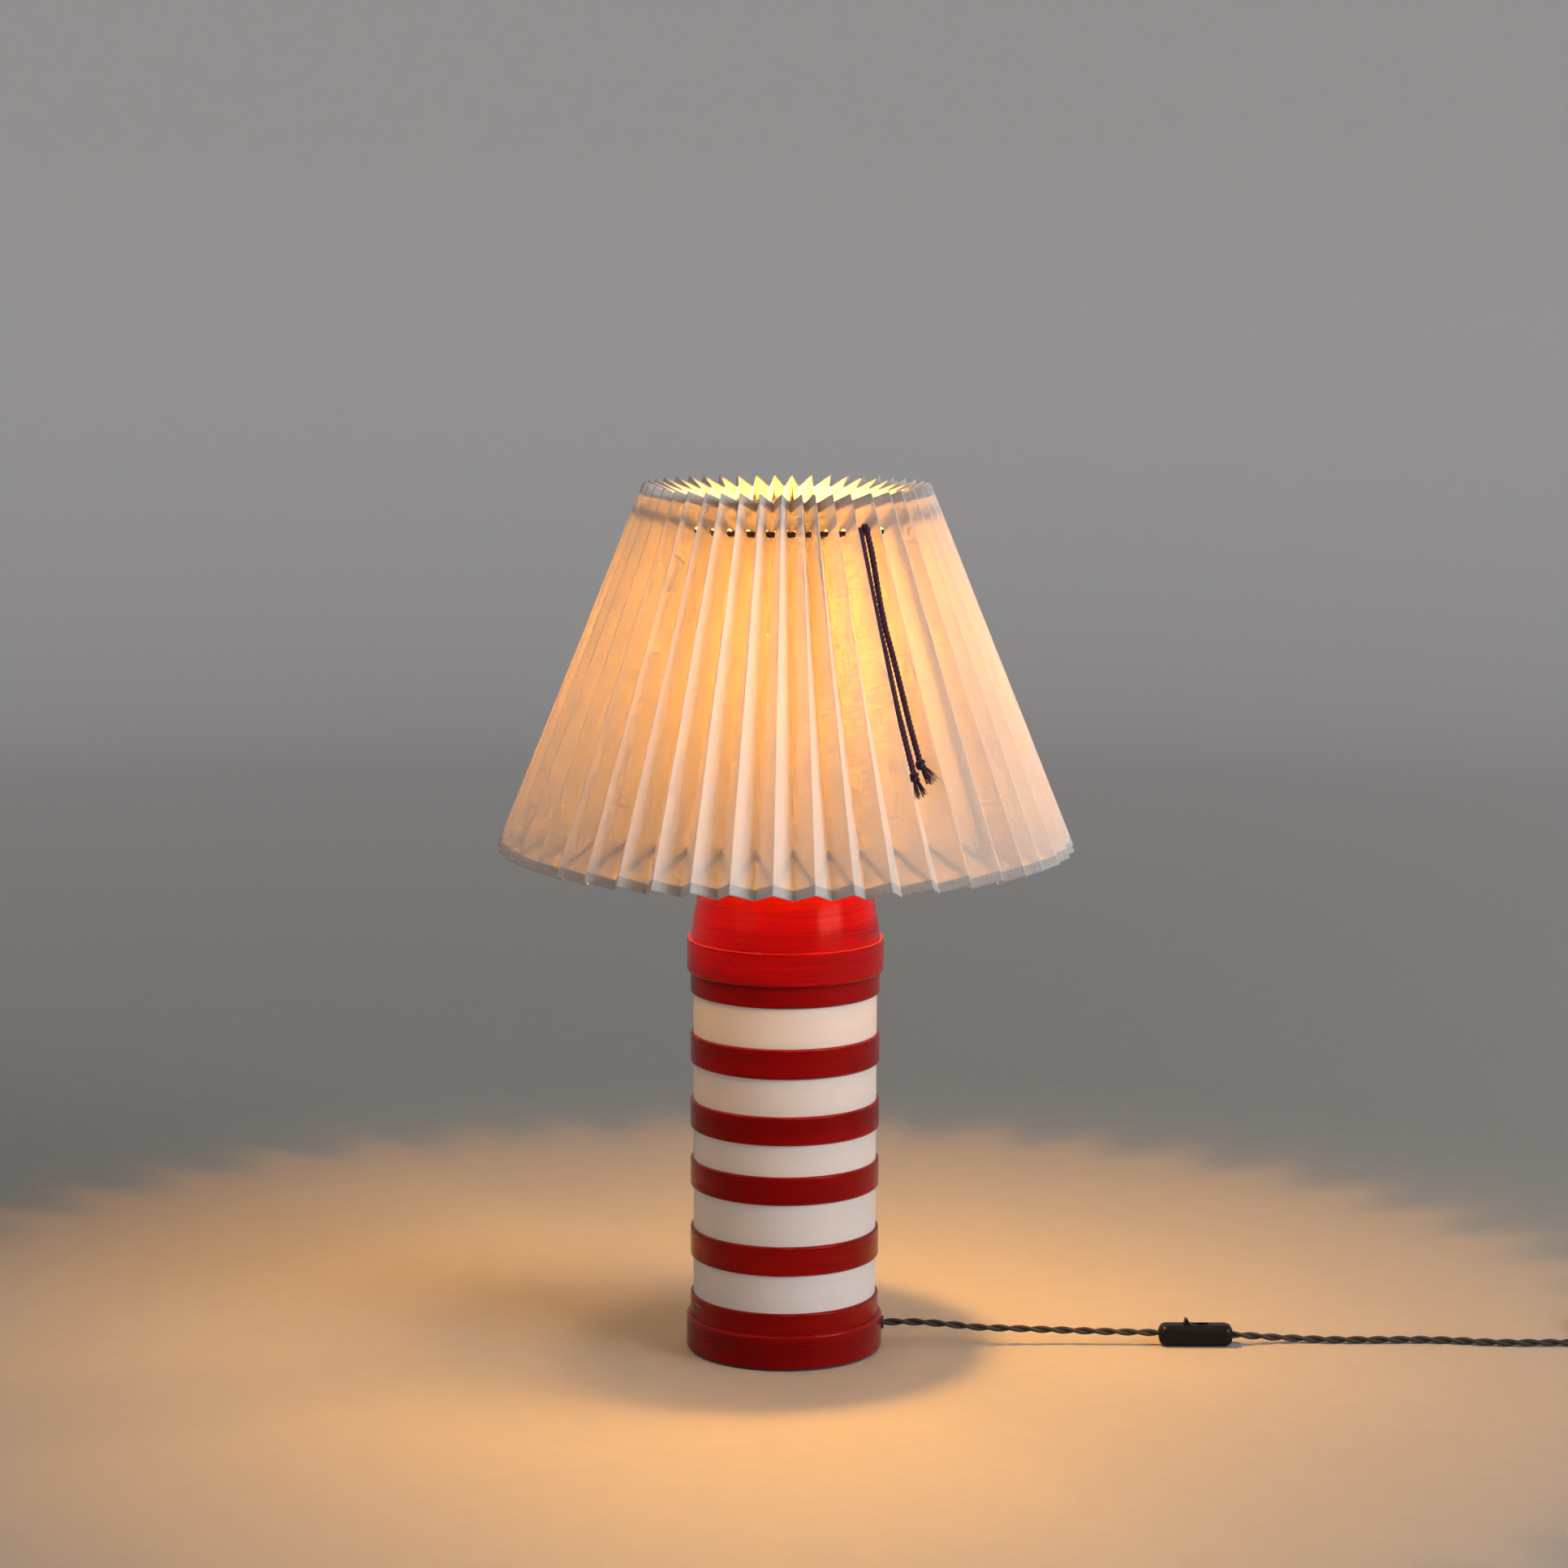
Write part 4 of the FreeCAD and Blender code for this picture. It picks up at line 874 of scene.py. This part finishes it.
def cover_layers(middle, bows, settings, rows):
    """Outer and inner faces of the cloth, mitred on the inside of each fold."""
    across = unit_rows(np.roll(middle, -1, axis=1) - middle)
    back = -np.roll(across, 1, axis=1)
    down = unit_rows(np.gradient(middle, axis=0))
    normal = unit_rows(np.cross(down, across - back))
    axis_out = middle * np.array([1, 1, 0])
    sign = np.sign(np.sum(normal * axis_out, axis=2, keepdims=True))
    normal = normal * np.median(sign)
    slack = np.sin(math.pi * rows)[:, None, None]
    middle = middle + normal * bows[None, :, None] * slack
    half = settings.thickness / 2
    down_cloth = rows * FOLD_LENGTH
    hem_rows = (down_cloth < settings.hem) | (down_cloth > FOLD_LENGTH - settings.hem)
    inner_half = np.where(hem_rows, 3 * half, half)[:, None, None]
    outer = middle + normal * half
    inner = middle - normal * inner_half
    step = len(COVER_COLUMNS)
    for i in range(2 * PLEATS):
        column = i * step
        first = across[:, column]
        second = back[:, column]
        towards = unit_rows(first + second)
        angle = np.arccos(np.clip(np.sum(first * second, axis=1), -1, 1)) / 2
        reach = 1 / np.maximum(np.sin(angle), 0.2)
        point = middle[:, column]
        if i % 2 == 0:
            outer[:, column] = point - towards * half
            inner[:, column] = point + towards * (inner_half[:, 0] * reach[:, None])
        else:
            outer[:, column] = point + towards * (half * reach)[:, None]
            inner[:, column] = point - towards * inner_half[:, 0]
    return outer, inner


def string_holes(middle):
    """Cells of the cloth that the drawstring passes through."""
    corners = (middle[:-1], middle[1:], np.roll(middle, -1, axis=1)[:-1],
               np.roll(middle, -1, axis=1)[1:])
    centre = sum(corners) / 4
    out = np.hypot(centre[..., 0], centre[..., 1]) - STRING_RING[0]
    up = centre[..., 2] - STRING_RING[1] - HOLE_LIFT
    return np.hypot(out, up) < HOLE_RADIUS


def round_the_holes(middle, cut):
    """Move the corners round each hole onto its edge, within the cloth's own plane."""
    touched = np.zeros(middle.shape[:2], bool)
    kept = np.zeros(middle.shape[:2], bool)
    for row in (0, 1):
        for column in (0, 1):
            block = np.roll(cut, column, axis=1)
            touched[row:row + cut.shape[0]] |= block
            kept[row:row + cut.shape[0]] |= ~block
    edge = touched & kept
    across = unit_rows(np.roll(middle, -1, axis=1) - middle)
    down = unit_rows(np.gradient(middle, axis=0))
    for row, column in zip(*np.nonzero(edge)):
        point = middle[row, column]
        spoke = math.hypot(point[0], point[1])
        out = np.array([point[0] / spoke, point[1] / spoke, 0])
        gap = np.array([spoke - STRING_RING[0], point[2] - STRING_RING[1] - HOLE_LIFT])
        wanted = gap * (HOLE_RADIUS / max(np.linalg.norm(gap), 1e-9) - 1)
        grid = np.array([[across[row, column] @ out, down[row, column] @ out],
                         [across[row, column][2], down[row, column][2]]])
        move = np.linalg.solve(grid, wanted)
        if np.linalg.norm(move) < HOLE_REACH:
            middle[row, column] = (point + across[row, column] * move[0]
                                   + down[row, column] * move[1])
    return middle


def linen_finish(name, settings, share, tone_share):
    """Woven linen that scatters the bulb's light and lets a share of it through."""
    finish, tree, shader = new_finish(name, Roughness=0.88, Sheen_Weight=0.12)
    weave = effect(tree, "Linen Weave", Thread=settings.thread, Slub=1.0)
    tone = calc(tree, "ADD", weave.outputs["Tone"], 0.34)
    # A tone_share below one darkens the cloth colour itself: painted shade.
    tint(tree, shader, tone, shaded(settings.cloth, 0.80 * tone_share),
         shaded(settings.cloth, tone_share), 0.34, 0.66)
    through = put(tree, "ShaderNodeValToRGB", {0: tone})
    through.color_ramp.elements[0].position = 0.34
    through.color_ramp.elements[1].position = 0.66
    through.color_ramp.elements[0].color = (*shaded(settings.cloth_through, share), 1)
    through.color_ramp.elements[1].color = (*shaded(settings.cloth_through, 0.62 * share), 1)
    scatter = put(tree, "ShaderNodeBsdfTranslucent", {"Color": through.outputs[0]})
    made = bump(tree, shader, weave.outputs["Height"], 0.00022)
    tree.links.new(made.outputs[0], scatter.inputs["Normal"])
    mixed = put(tree, "ShaderNodeMixShader", {0: 0.38, 1: shader.outputs[0],
                                             2: scatter.outputs[0]})
    tree.links.new(mixed.outputs[0], tree.nodes["Material Output"].inputs["Surface"])
    return finish


def cover_mesh(settings):
    """The pleated cover as one closed piece of cloth with holes and folded hems."""
    rows = cover_rows(settings.hem)
    middle, bows = cover_middle(rows, settings)
    cut = string_holes(middle)
    middle = round_the_holes(middle, cut)
    outer, inner = cover_layers(middle, bows, settings, rows)
    high, wide = middle.shape[:2]
    offset = high * wide
    points = np.concatenate([outer.reshape(-1, 3), inner.reshape(-1, 3)])
    cloth_u = np.array([(i + share) * PANEL_WIDTH for i in range(2 * PLEATS)
                        for share in panel_shares(i)])
    faces = []
    coordinates = []
    slots = []

    def add(indices, columns, row_set, slot):
        """A face, with its place on the flat cloth."""
        faces.append(indices)
        slots.append(slot)
        for c, r in zip(columns, row_set):
            u = cloth_u[c] if c < wide else 2 * PLEATS * PANEL_WIDTH
            coordinates.append((u, rows[r] * FOLD_LENGTH))

    hem_low = settings.hem
    hem_high = FOLD_LENGTH - settings.hem
    for r in range(high - 1):
        place = (rows[r] + rows[r + 1]) / 2 * FOLD_LENGTH
        slot = 1 if place < hem_low or place > hem_high else 0
        for c in range(wide):
            n = (c + 1) % wide
            corners = (r * wide + c, r * wide + n, (r + 1) * wide + n, (r + 1) * wide + c)
            columns = (c, c + 1, c + 1, c)
            levels = (r, r, r + 1, r + 1)
            if not cut[r, c]:
                add(corners[::-1], columns[::-1], levels[::-1], slot)
                add(tuple(offset + k for k in corners), columns, levels, slot)
                if r == 0:
                    add((corners[0], corners[1], offset + corners[1], offset + corners[0]),
                        (c, c + 1, c + 1, c), (r, r, r, r), 1)
                if r == high - 2:
                    add((corners[3], offset + corners[3], offset + corners[2], corners[2]),
                        (c, c, c + 1, c + 1), (r + 1, r + 1, r + 1, r + 1), 1)
                continue
            if not cut[r, (c - 1) % wide]:
                add((corners[0], corners[3], offset + corners[3], offset + corners[0]),
                    (c, c, c, c), (r, r + 1, r + 1, r), 0)
            if not cut[r, (c + 1) % wide]:
                add((corners[2], corners[1], offset + corners[1], offset + corners[2]),
                    (c + 1, c + 1, c + 1, c + 1), (r + 1, r, r, r + 1), 0)
            if not cut[r - 1, c]:
                add((corners[1], corners[0], offset + corners[0], offset + corners[1]),
                    (c + 1, c, c, c + 1), (r, r, r, r), 0)
            if not cut[r + 1, c]:
                add((corners[3], corners[2], offset + corners[2], offset + corners[3]),
                    (c, c + 1, c + 1, c), (r + 1, r + 1, r + 1, r + 1), 0)
    used = np.zeros(len(points), bool)
    for face in faces:
        used[list(face)] = True
    renumber = np.cumsum(used) - 1
    faces = [tuple(int(renumber[k]) for k in face) for face in faces]
    # The hem's linen lets about a third as much light through, as the doubled cloth does, and its
    # cloth colour is a tenth darker: painted shade.
    cover = add_mesh("linen_cover", points[used], faces,
                     [linen_finish("linen_panels", settings, 1.0, 1.0),
                      linen_finish("linen_hem", settings, 0.34, 0.90)], slots)
    layer = cover.data.uv_layers.new(name="cloth")
    layer.data.foreach_set("uv", np.array(coordinates, np.float32).ravel())
    return cover, middle


def tie_stitches(middle):
    """Small thread loops that tie the valleys to the two frame rings."""
    thread, tree, shader = new_finish("linen_thread", Roughness=0.85)
    marks = effect(tree, "Handling Marks", Grain=2500.0, Smooth=0.8, Rough=0.95)
    tint(tree, shader, marks.outputs["Height"], (0.46, 0.42, 0.36), (0.62, 0.58, 0.52))
    bump(tree, shader, marks.outputs["Height"], 0.0001)
    vertices = []
    faces = []
    step = len(COVER_COLUMNS)
    for ring in ("frame_top_ring", "frame_bottom_ring"):
        low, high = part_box(ring)
        wire = (high.z - low.z) / 2
        ring_radius = high.x - wire
        ring_height = (high.z + low.z) / 2
        for i in range(1, 2 * PLEATS, 2):
            fold = middle[:, i * step]
            row = int(np.argmin(np.abs(fold[:, 2] - ring_height)))
            turn = math.atan2(fold[row][0], -fold[row][1])
            fold_radius = math.hypot(fold[row][0], fold[row][1])
            inner = ring_radius - wire - 0.00035
            outer = fold_radius + 0.0011
            centre = (inner + outer) / 2
            wide = (outer - inner) / 2
            first = len(vertices)
            for k in range(TIE_STEPS):
                a = 2 * math.pi * k / TIE_STEPS
                for m in range(TIE_SIDES):
                    b = 2 * math.pi * m / TIE_SIDES
                    reach = wide + TIE_THREAD * math.cos(b)
                    rise = wire + 0.00045 + TIE_THREAD * math.cos(b)
                    radius = centre + reach * math.cos(a)
                    height = ring_height + rise * math.sin(a)
                    skew = 3 * TIE_THREAD * math.sin(a) + TIE_THREAD * math.sin(b)
                    vertices.append((radius * math.sin(turn) + skew * math.cos(turn),
                                     -radius * math.cos(turn) + skew * math.sin(turn),
                                     height))
            faces += tube_faces(TIE_STEPS, TIE_SIDES, first, True)
    return add_mesh("tie_stitches", vertices, faces, [thread])


class LAMP_OT_make_shade(bpy.types.Operator):
    """Pleats the linen cover over the wire frame and ties it on"""
    bl_idname = "lamp.make_shade"
    bl_label = "Make the pleated shade"

    def execute(self, context):
        settings = context.scene.lamp_shade
        cover, middle = cover_mesh(settings)
        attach(cover, "shade")
        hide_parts("pleated_cover")
        ties = tie_stitches(middle)
        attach(ties, "shade")
        return {"FINISHED"}


# ------------------------------------------------------------------------- drawstring
def in_groove(down, out, side):
    """A point in the groove that holds the drawstring's ends."""
    turn = math.radians(PLEAT_TURN + (TAIL_GROOVE + 0.5) * 360.0 / PLEATS)
    share = down / FOLD_LENGTH
    radius = VALLEY[0][0] + (VALLEY[1][0] - VALLEY[0][0]) * share + out
    height = VALLEY[0][1] + (VALLEY[1][1] - VALLEY[0][1]) * share
    return (radius * math.sin(turn) + side * math.cos(turn),
            -radius * math.cos(turn) + side * math.sin(turn), height)


def rope_finish(settings):
    """Dull dyed cotton, wound of several yarns."""
    finish, tree, shader = new_finish("aubergine_rope", Roughness=0.8, Sheen_Weight=0.08)
    yarn = effect(tree, "Wound Yarn", Yarns=5.0, Turns_per_metre=-240.0)
    # Darker in the grooves and lighter on the crowns of the yarns: painted shade and painted
    # light over the rope's dye.
    tint(tree, shader, yarn.outputs["Tone"], shaded(settings.rope, 0.5),
         shaded(settings.rope, 1.7), 0.25, 0.8)
    bump(tree, shader, yarn.outputs["Height"], 0.00013)
    return finish


def rope(name, line, settings, finish, closed=False, turn=0.0, size=1.0):
    """Three-strand rope along a line."""
    touching = settings.diameter / 2 * size / 2.155
    return twisted_strands(name, line, 3, touching * 1.06, touching * 1.12,
                           settings.pitch * size, finish, ROPE_SIDES, ROPE_STEP, closed, turn)


def knot_line(centre, ahead, size):
    """An overhand knot's line round a point."""
    turn = Vector((0, 0, 1)).rotation_difference(Vector(ahead))
    points = []
    for k in range(KNOT_POINTS):
        a = 2 * math.pi * k / KNOT_POINTS
        reach = size * (1.0 + 0.42 * math.cos(3 * a))
        place = Vector((reach * math.cos(2 * a), reach * math.sin(2 * a),
                        1.05 * size * math.sin(3 * a)))
        points.append(Vector(centre) + turn @ place)
    return np.array(points)


def tuft(name, top, ahead, settings, finish, seed):
    """Loose yarns that spread below a knot."""
    chance = random.Random(seed)
    forward = Vector(ahead)
    side = forward.orthogonal().normalized()
    other = forward.cross(side)
    vertices = []
    faces = []
    lengths = []
    for _ in range(settings.fibres):
        turn = chance.uniform(0, 2 * math.pi)
        spread = math.sqrt(chance.random())
        start = (side * math.cos(turn) + other * math.sin(turn)) * TUFT_ROOT * spread
        lean = (side * math.cos(turn) + other * math.sin(turn)) * spread
        length = chance.uniform(0.0095, 0.0140)
        curl = chance.uniform(-1.5, 1.5)
        drop = chance.uniform(0.6, 1.0)
        radius = chance.uniform(0.00026, 0.00040)
        line = []
        for k in range(TUFT_RINGS):
            share = k / (TUFT_RINGS - 1)
            place = (Vector(top) + start + forward * length * share
                     + lean * TUFT_SPREAD * drop * share ** 0.8
                     + (side * math.sin(curl * 3 * share)
                        + other * math.cos(curl * 2 * share)) * TUFT_CURL * share)
            line.append(place)
        _, across, up = carried_frames(np.array(line))
        first = len(vertices)
        for k in range(TUFT_RINGS):
            thin = radius * (1 - 0.45 * k / (TUFT_RINGS - 1))
            for m in range(TUFT_SIDES):
                b = 2 * math.pi * m / TUFT_SIDES
                vertices.append(np.array(line[k]) + thin * (math.cos(b) * across[k]
                                                            + math.sin(b) * up[k]))
            lengths.append(k / (TUFT_RINGS - 1) * length)
        faces += tube_faces(TUFT_RINGS, TUFT_SIDES, first)
    made = add_mesh(name, vertices, faces, [finish])
    set_tube_uv(made.data, TUFT_SIDES, np.array(lengths))
    return made


class LAMP_OT_make_drawstring(bpy.types.Operator):
    """Lays the twisted drawstring round the cover and knots its ends"""
    bl_idname = "lamp.make_drawstring"
    bl_label = "Make the drawstring"

    def execute(self, context):
        settings = context.scene.lamp_string
        finish = rope_finish(settings)
        turns = np.linspace(0, 2 * math.pi, LOOP_POINTS, endpoint=False)
        circle = np.stack([STRING_RING[0] * np.sin(turns), -STRING_RING[0] * np.cos(turns),
                           np.full(len(turns), STRING_RING[1])], axis=1)
        loop, _ = rope("drawstring_round_cover", circle, settings, finish, True)
        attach(loop, "shade")
        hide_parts("drawstring_loop")
        sides = (("left", TAIL_LEFT, BIGHT_LEFT, 0.190, 0.12),
                 ("right", TAIL_RIGHT, BIGHT_RIGHT, 0.180, 0.45))
        for seed, (side, route, bight_route, length, lean) in enumerate(sides):
            line = smooth_line("tail", [in_groove(*p) for p in route])
            tail, path = rope("tail_" + side, line, settings, finish, False, 0.7 * seed)
            bight_line = smooth_line("bight", [in_groove(*p) for p in bight_route])
            bight, _ = rope("bight_" + side, bight_line, settings, finish, False, 0.4, 0.96)
            ahead = unit_rows(path[-1] - path[-4])
            middle = path[-1] + ahead * KNOT_AHEAD
            knot, _ = rope("knot_" + side, knot_line(middle, ahead, KNOT_SIZE), settings,
                           finish, True, 0.0, KNOT_ROPE)
            fall = unit_rows(ahead + lean * np.array([0.9, 0.45, 0.0]))
            end = tuft("tuft_" + side, middle + fall * TUFT_DROP, fall, settings, finish,
                       11 + seed)
            for piece in (tail, bight, knot, end):
                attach(piece, "shade")
            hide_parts("string_tail_" + side)
            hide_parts("string_end_" + side)
        return {"FINISHED"}


# -------------------------------------------------------------------------------- flex
def flex_finish(settings):
    """Black braid over a flex core."""
    finish, tree, shader = new_finish("braided_flex", Roughness=0.72, Sheen_Weight=0.06)
    braid = effect(tree, "Wound Yarn", Yarns=6.0, Turns_per_metre=620.0, Both_ways=1.0)
    # Darker in the crevices and lighter on the crowns of the braid: painted shade and painted
    # light over the black braid.
    tint(tree, shader, braid.outputs["Tone"], shaded(settings.braid, 0.5),
         shaded(settings.braid, 1.7), 0.3, 0.8)
    bump(tree, shader, braid.outputs["Height"], 0.00012)
    return finish


def coil_points():
    """Control points of three turns in and three turns out, one layer on the other."""
    points = []
    total = COIL_TURNS * COIL_STEPS
    for k in range(1, 2 * total):
        turn = -math.pi / 2 + 2 * math.pi * k / COIL_STEPS
        if k < total:
            share = k / total
            radius = COIL_WIDE + (COIL_NARROW - COIL_WIDE) * share
            height = COIL_LOW
        else:
            share = k / total - 1
            radius = COIL_NARROW + (COIL_WIDE - COIL_NARROW) * share
            height = COIL_HIGH
        if abs(k - total) <= 2:
            height = COIL_LOW + COIL_CLIMB * (k - total + 2) / 4
        points.append((COIL_CENTRE[0] + radius * math.cos(turn),
                       COIL_CENTRE[1] + radius * math.sin(turn), height))
    return points


def flex_run(name, points, settings, finish):
    """Two twisted cores of flex along the line that these points control."""
    radius = settings.core / 2
    return twisted_strands(name, smooth_line(name, points), 2, radius, radius,
                           settings.pitch, finish, CORE_SIDES, CORE_STEP)


class LAMP_OT_make_flex(bpy.types.Operator):
    """Twists the braided flex from the lampholder to the switch and on to the plug"""
    bl_idname = "lamp.make_flex"
    bl_label = "Make the flex"

    def execute(self, context):
        settings = context.scene.lamp_flex
        finish = flex_finish(settings)
        inside, _ = flex_run("flex_in_base", INSIDE_LAMP, settings, finish)
        lamp, lamp_path = flex_run("flex_to_switch", LAMP_TO_SWITCH, settings, finish)
        mains, mains_path = flex_run(
            "flex_to_plug", SWITCH_TO_COIL + coil_points() + COIL_TO_PLUG, settings, finish)
        for piece in (inside, lamp, mains):
            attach(piece, "base")
        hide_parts("flex_inside_lamp")
        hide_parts("flex_lamp_to_switch")
        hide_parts("flex_switch_to_coil", "flex_coil", "flex_coil_to_plug")
        return {"FINISHED"}


# ------------------------------------------------------------------------------- stage
def area_light(name, place, power, colour):
    """A large soft light that faces the lamp."""
    light = bpy.data.lights.new(name, "AREA")
    light.shape = "RECTANGLE"
    light.size = LIGHT_SIZE
    light.size_y = LIGHT_SIZE
    light.energy = power
    light.color = colour
    holder = bpy.data.objects.new(name, light)
    holder.location = place
    holder.rotation_mode = "QUATERNION"
    facing = Vector(LIGHT_TARGET) - Vector(place)
    holder.rotation_quaternion = facing.to_track_quat("-Z", "Y")
    bpy.context.scene.collection.objects.link(holder)


def stage_finish(settings):
    """Dull paint that passes from the floor's colour to the backdrop's."""
    finish, tree, shader = new_finish("pale_floor")
    marks = effect(tree, "Handling Marks", Grain=1200.0, Smooth=0.7, Rough=0.8)
    tree.links.new(marks.outputs["Roughness"], shader.inputs["Roughness"])
    place = put(tree, "ShaderNodeTexCoord").outputs["Object"]
    away = put(tree, "ShaderNodeVectorMath", {0: place}, operation="LENGTH")
    share = put(tree, "ShaderNodeMapRange", {"Value": away.outputs["Value"],
                                            "From Min": STAGE_MIDDLE,
                                            "From Max": STAGE_RADIUS})
    tint(tree, shader, share.outputs[0], settings.floor, settings.wall, 0.0, 1.0)
    bump(tree, shader, marks.outputs["Height"], 0.00005)
    return finish


def stage_bowl(finish):
    """A level floor that bends up into a backdrop all round."""
    outline = [(STAGE_MIDDLE, 0.0), (2 * STAGE_MIDDLE, 0.0),
               (STAGE_RADIUS - STAGE_CURVE, 0.0)]
    for k in range(1, STAGE_BEND + 1):
        a = math.pi / 2 * k / STAGE_BEND
        outline.append((STAGE_RADIUS - STAGE_CURVE * (1 - math.sin(a)),
                        STAGE_CURVE * (1 - math.cos(a))))
    outline.append((STAGE_RADIUS, STAGE_HEIGHT))
    points = []
    for radius, height in outline:
        for k in range(STAGE_SIDES):
            turn = 2 * math.pi * k / STAGE_SIDES
            points.append((radius * math.cos(turn), radius * math.sin(turn), height))
    faces = [tuple(range(STAGE_SIDES))]
    for i in range(len(outline) - 1):
        low = i * STAGE_SIDES
        high = low + STAGE_SIDES
        for k in range(STAGE_SIDES):
            n = (k + 1) % STAGE_SIDES
            faces.append((low + k, high + k, high + n, low + n))
    return add_mesh("floor", points, faces, [finish])


class LAMP_OT_set_stage(bpy.types.Operator):
    """Lays the floor and backdrop and sets the soft lights and the camera"""
    bl_idname = "lamp.set_stage"
    bl_label = "Set the stage"

    def execute(self, context):
        settings = context.scene.lamp_stage
        scene = context.scene
        scene.view_settings.view_transform = "Standard"
        camera = bpy.data.objects.new("camera", bpy.data.cameras.new("camera"))
        camera.data.lens = CAMERA_LENS
        camera.data.sensor_width = CAMERA_SENSOR
        tilt = Matrix.Rotation(CAMERA_TILT, 4, "X") @ Matrix.Rotation(CAMERA_ROLL, 4, "Z")
        camera.matrix_world = Matrix.Translation(CAMERA_PLACE) @ tilt
        scene.collection.objects.link(camera)
        scene.camera = camera
        stage_bowl(stage_finish(settings))
        area_light("key_light", KEY_PLACE, settings.key, (0.95, 0.97, 1.0))
        area_light("fill_light", FILL_PLACE, settings.key * FILL_SHARE, (0.92, 0.96, 1.0))
        world = bpy.data.worlds.new("soft_room")
        world.use_nodes = True
        sky = world.node_tree.nodes["Background"]
        sky.inputs["Color"].default_value = (0.92, 0.94, 1.0, 1)
        sky.inputs["Strength"].default_value = settings.sky
        scene.world = world
        return {"FINISHED"}


class LAMP_PT_panel(bpy.types.Panel):
    """Sizes, colours and steps of the lamp"""
    bl_idname = "LAMP_PT_panel"
    bl_label = "Ringed Table Lamp"
    bl_space_type = "VIEW_3D"
    bl_region_type = "UI"
    bl_category = "Lamp"

    def draw(self, context):
        for group in SETTINGS:
            box = self.layout.box()
            values = getattr(context.scene, group)
            for name in values.bl_rna.properties.keys():
                if name not in ("rna_type", "name"):
                    box.prop(values, name)
        for step in STEPS:
            self.layout.operator("lamp." + step)


SETTINGS = {"lamp_base": LampBaseFinish, "lamp_shade": LampShadeSizes,
            "lamp_string": LampStringSizes, "lamp_flex": LampFlexSizes,
            "lamp_light": LampLight, "lamp_stage": LampStageSettings}
STEPS = ("set_stage", "make_flex", "finish_base", "finish_fittings", "light_bulb",
         "make_shade", "make_drawstring")
CLASSES = (LAMP_OT_set_stage, LAMP_OT_make_flex, LAMP_OT_finish_base, LAMP_OT_finish_fittings,
           LAMP_OT_light_bulb, LAMP_OT_make_shade, LAMP_OT_make_drawstring, LAMP_PT_panel)


def register():
    for name, group in SETTINGS.items():
        bpy.utils.register_class(group)
        setattr(bpy.types.Scene, name, bpy.props.PointerProperty(type=group))
    for made in CLASSES:
        bpy.utils.register_class(made)


def unregister():
    for made in reversed(CLASSES):
        bpy.utils.unregister_class(made)
    for name, group in SETTINGS.items():
        delattr(bpy.types.Scene, name)
        bpy.utils.unregister_class(group)


def main():
    """Make the lamp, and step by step."""
    register()
    for step in STEPS:
        getattr(bpy.ops.lamp, step)()


if __name__ == "__main__":
    main()
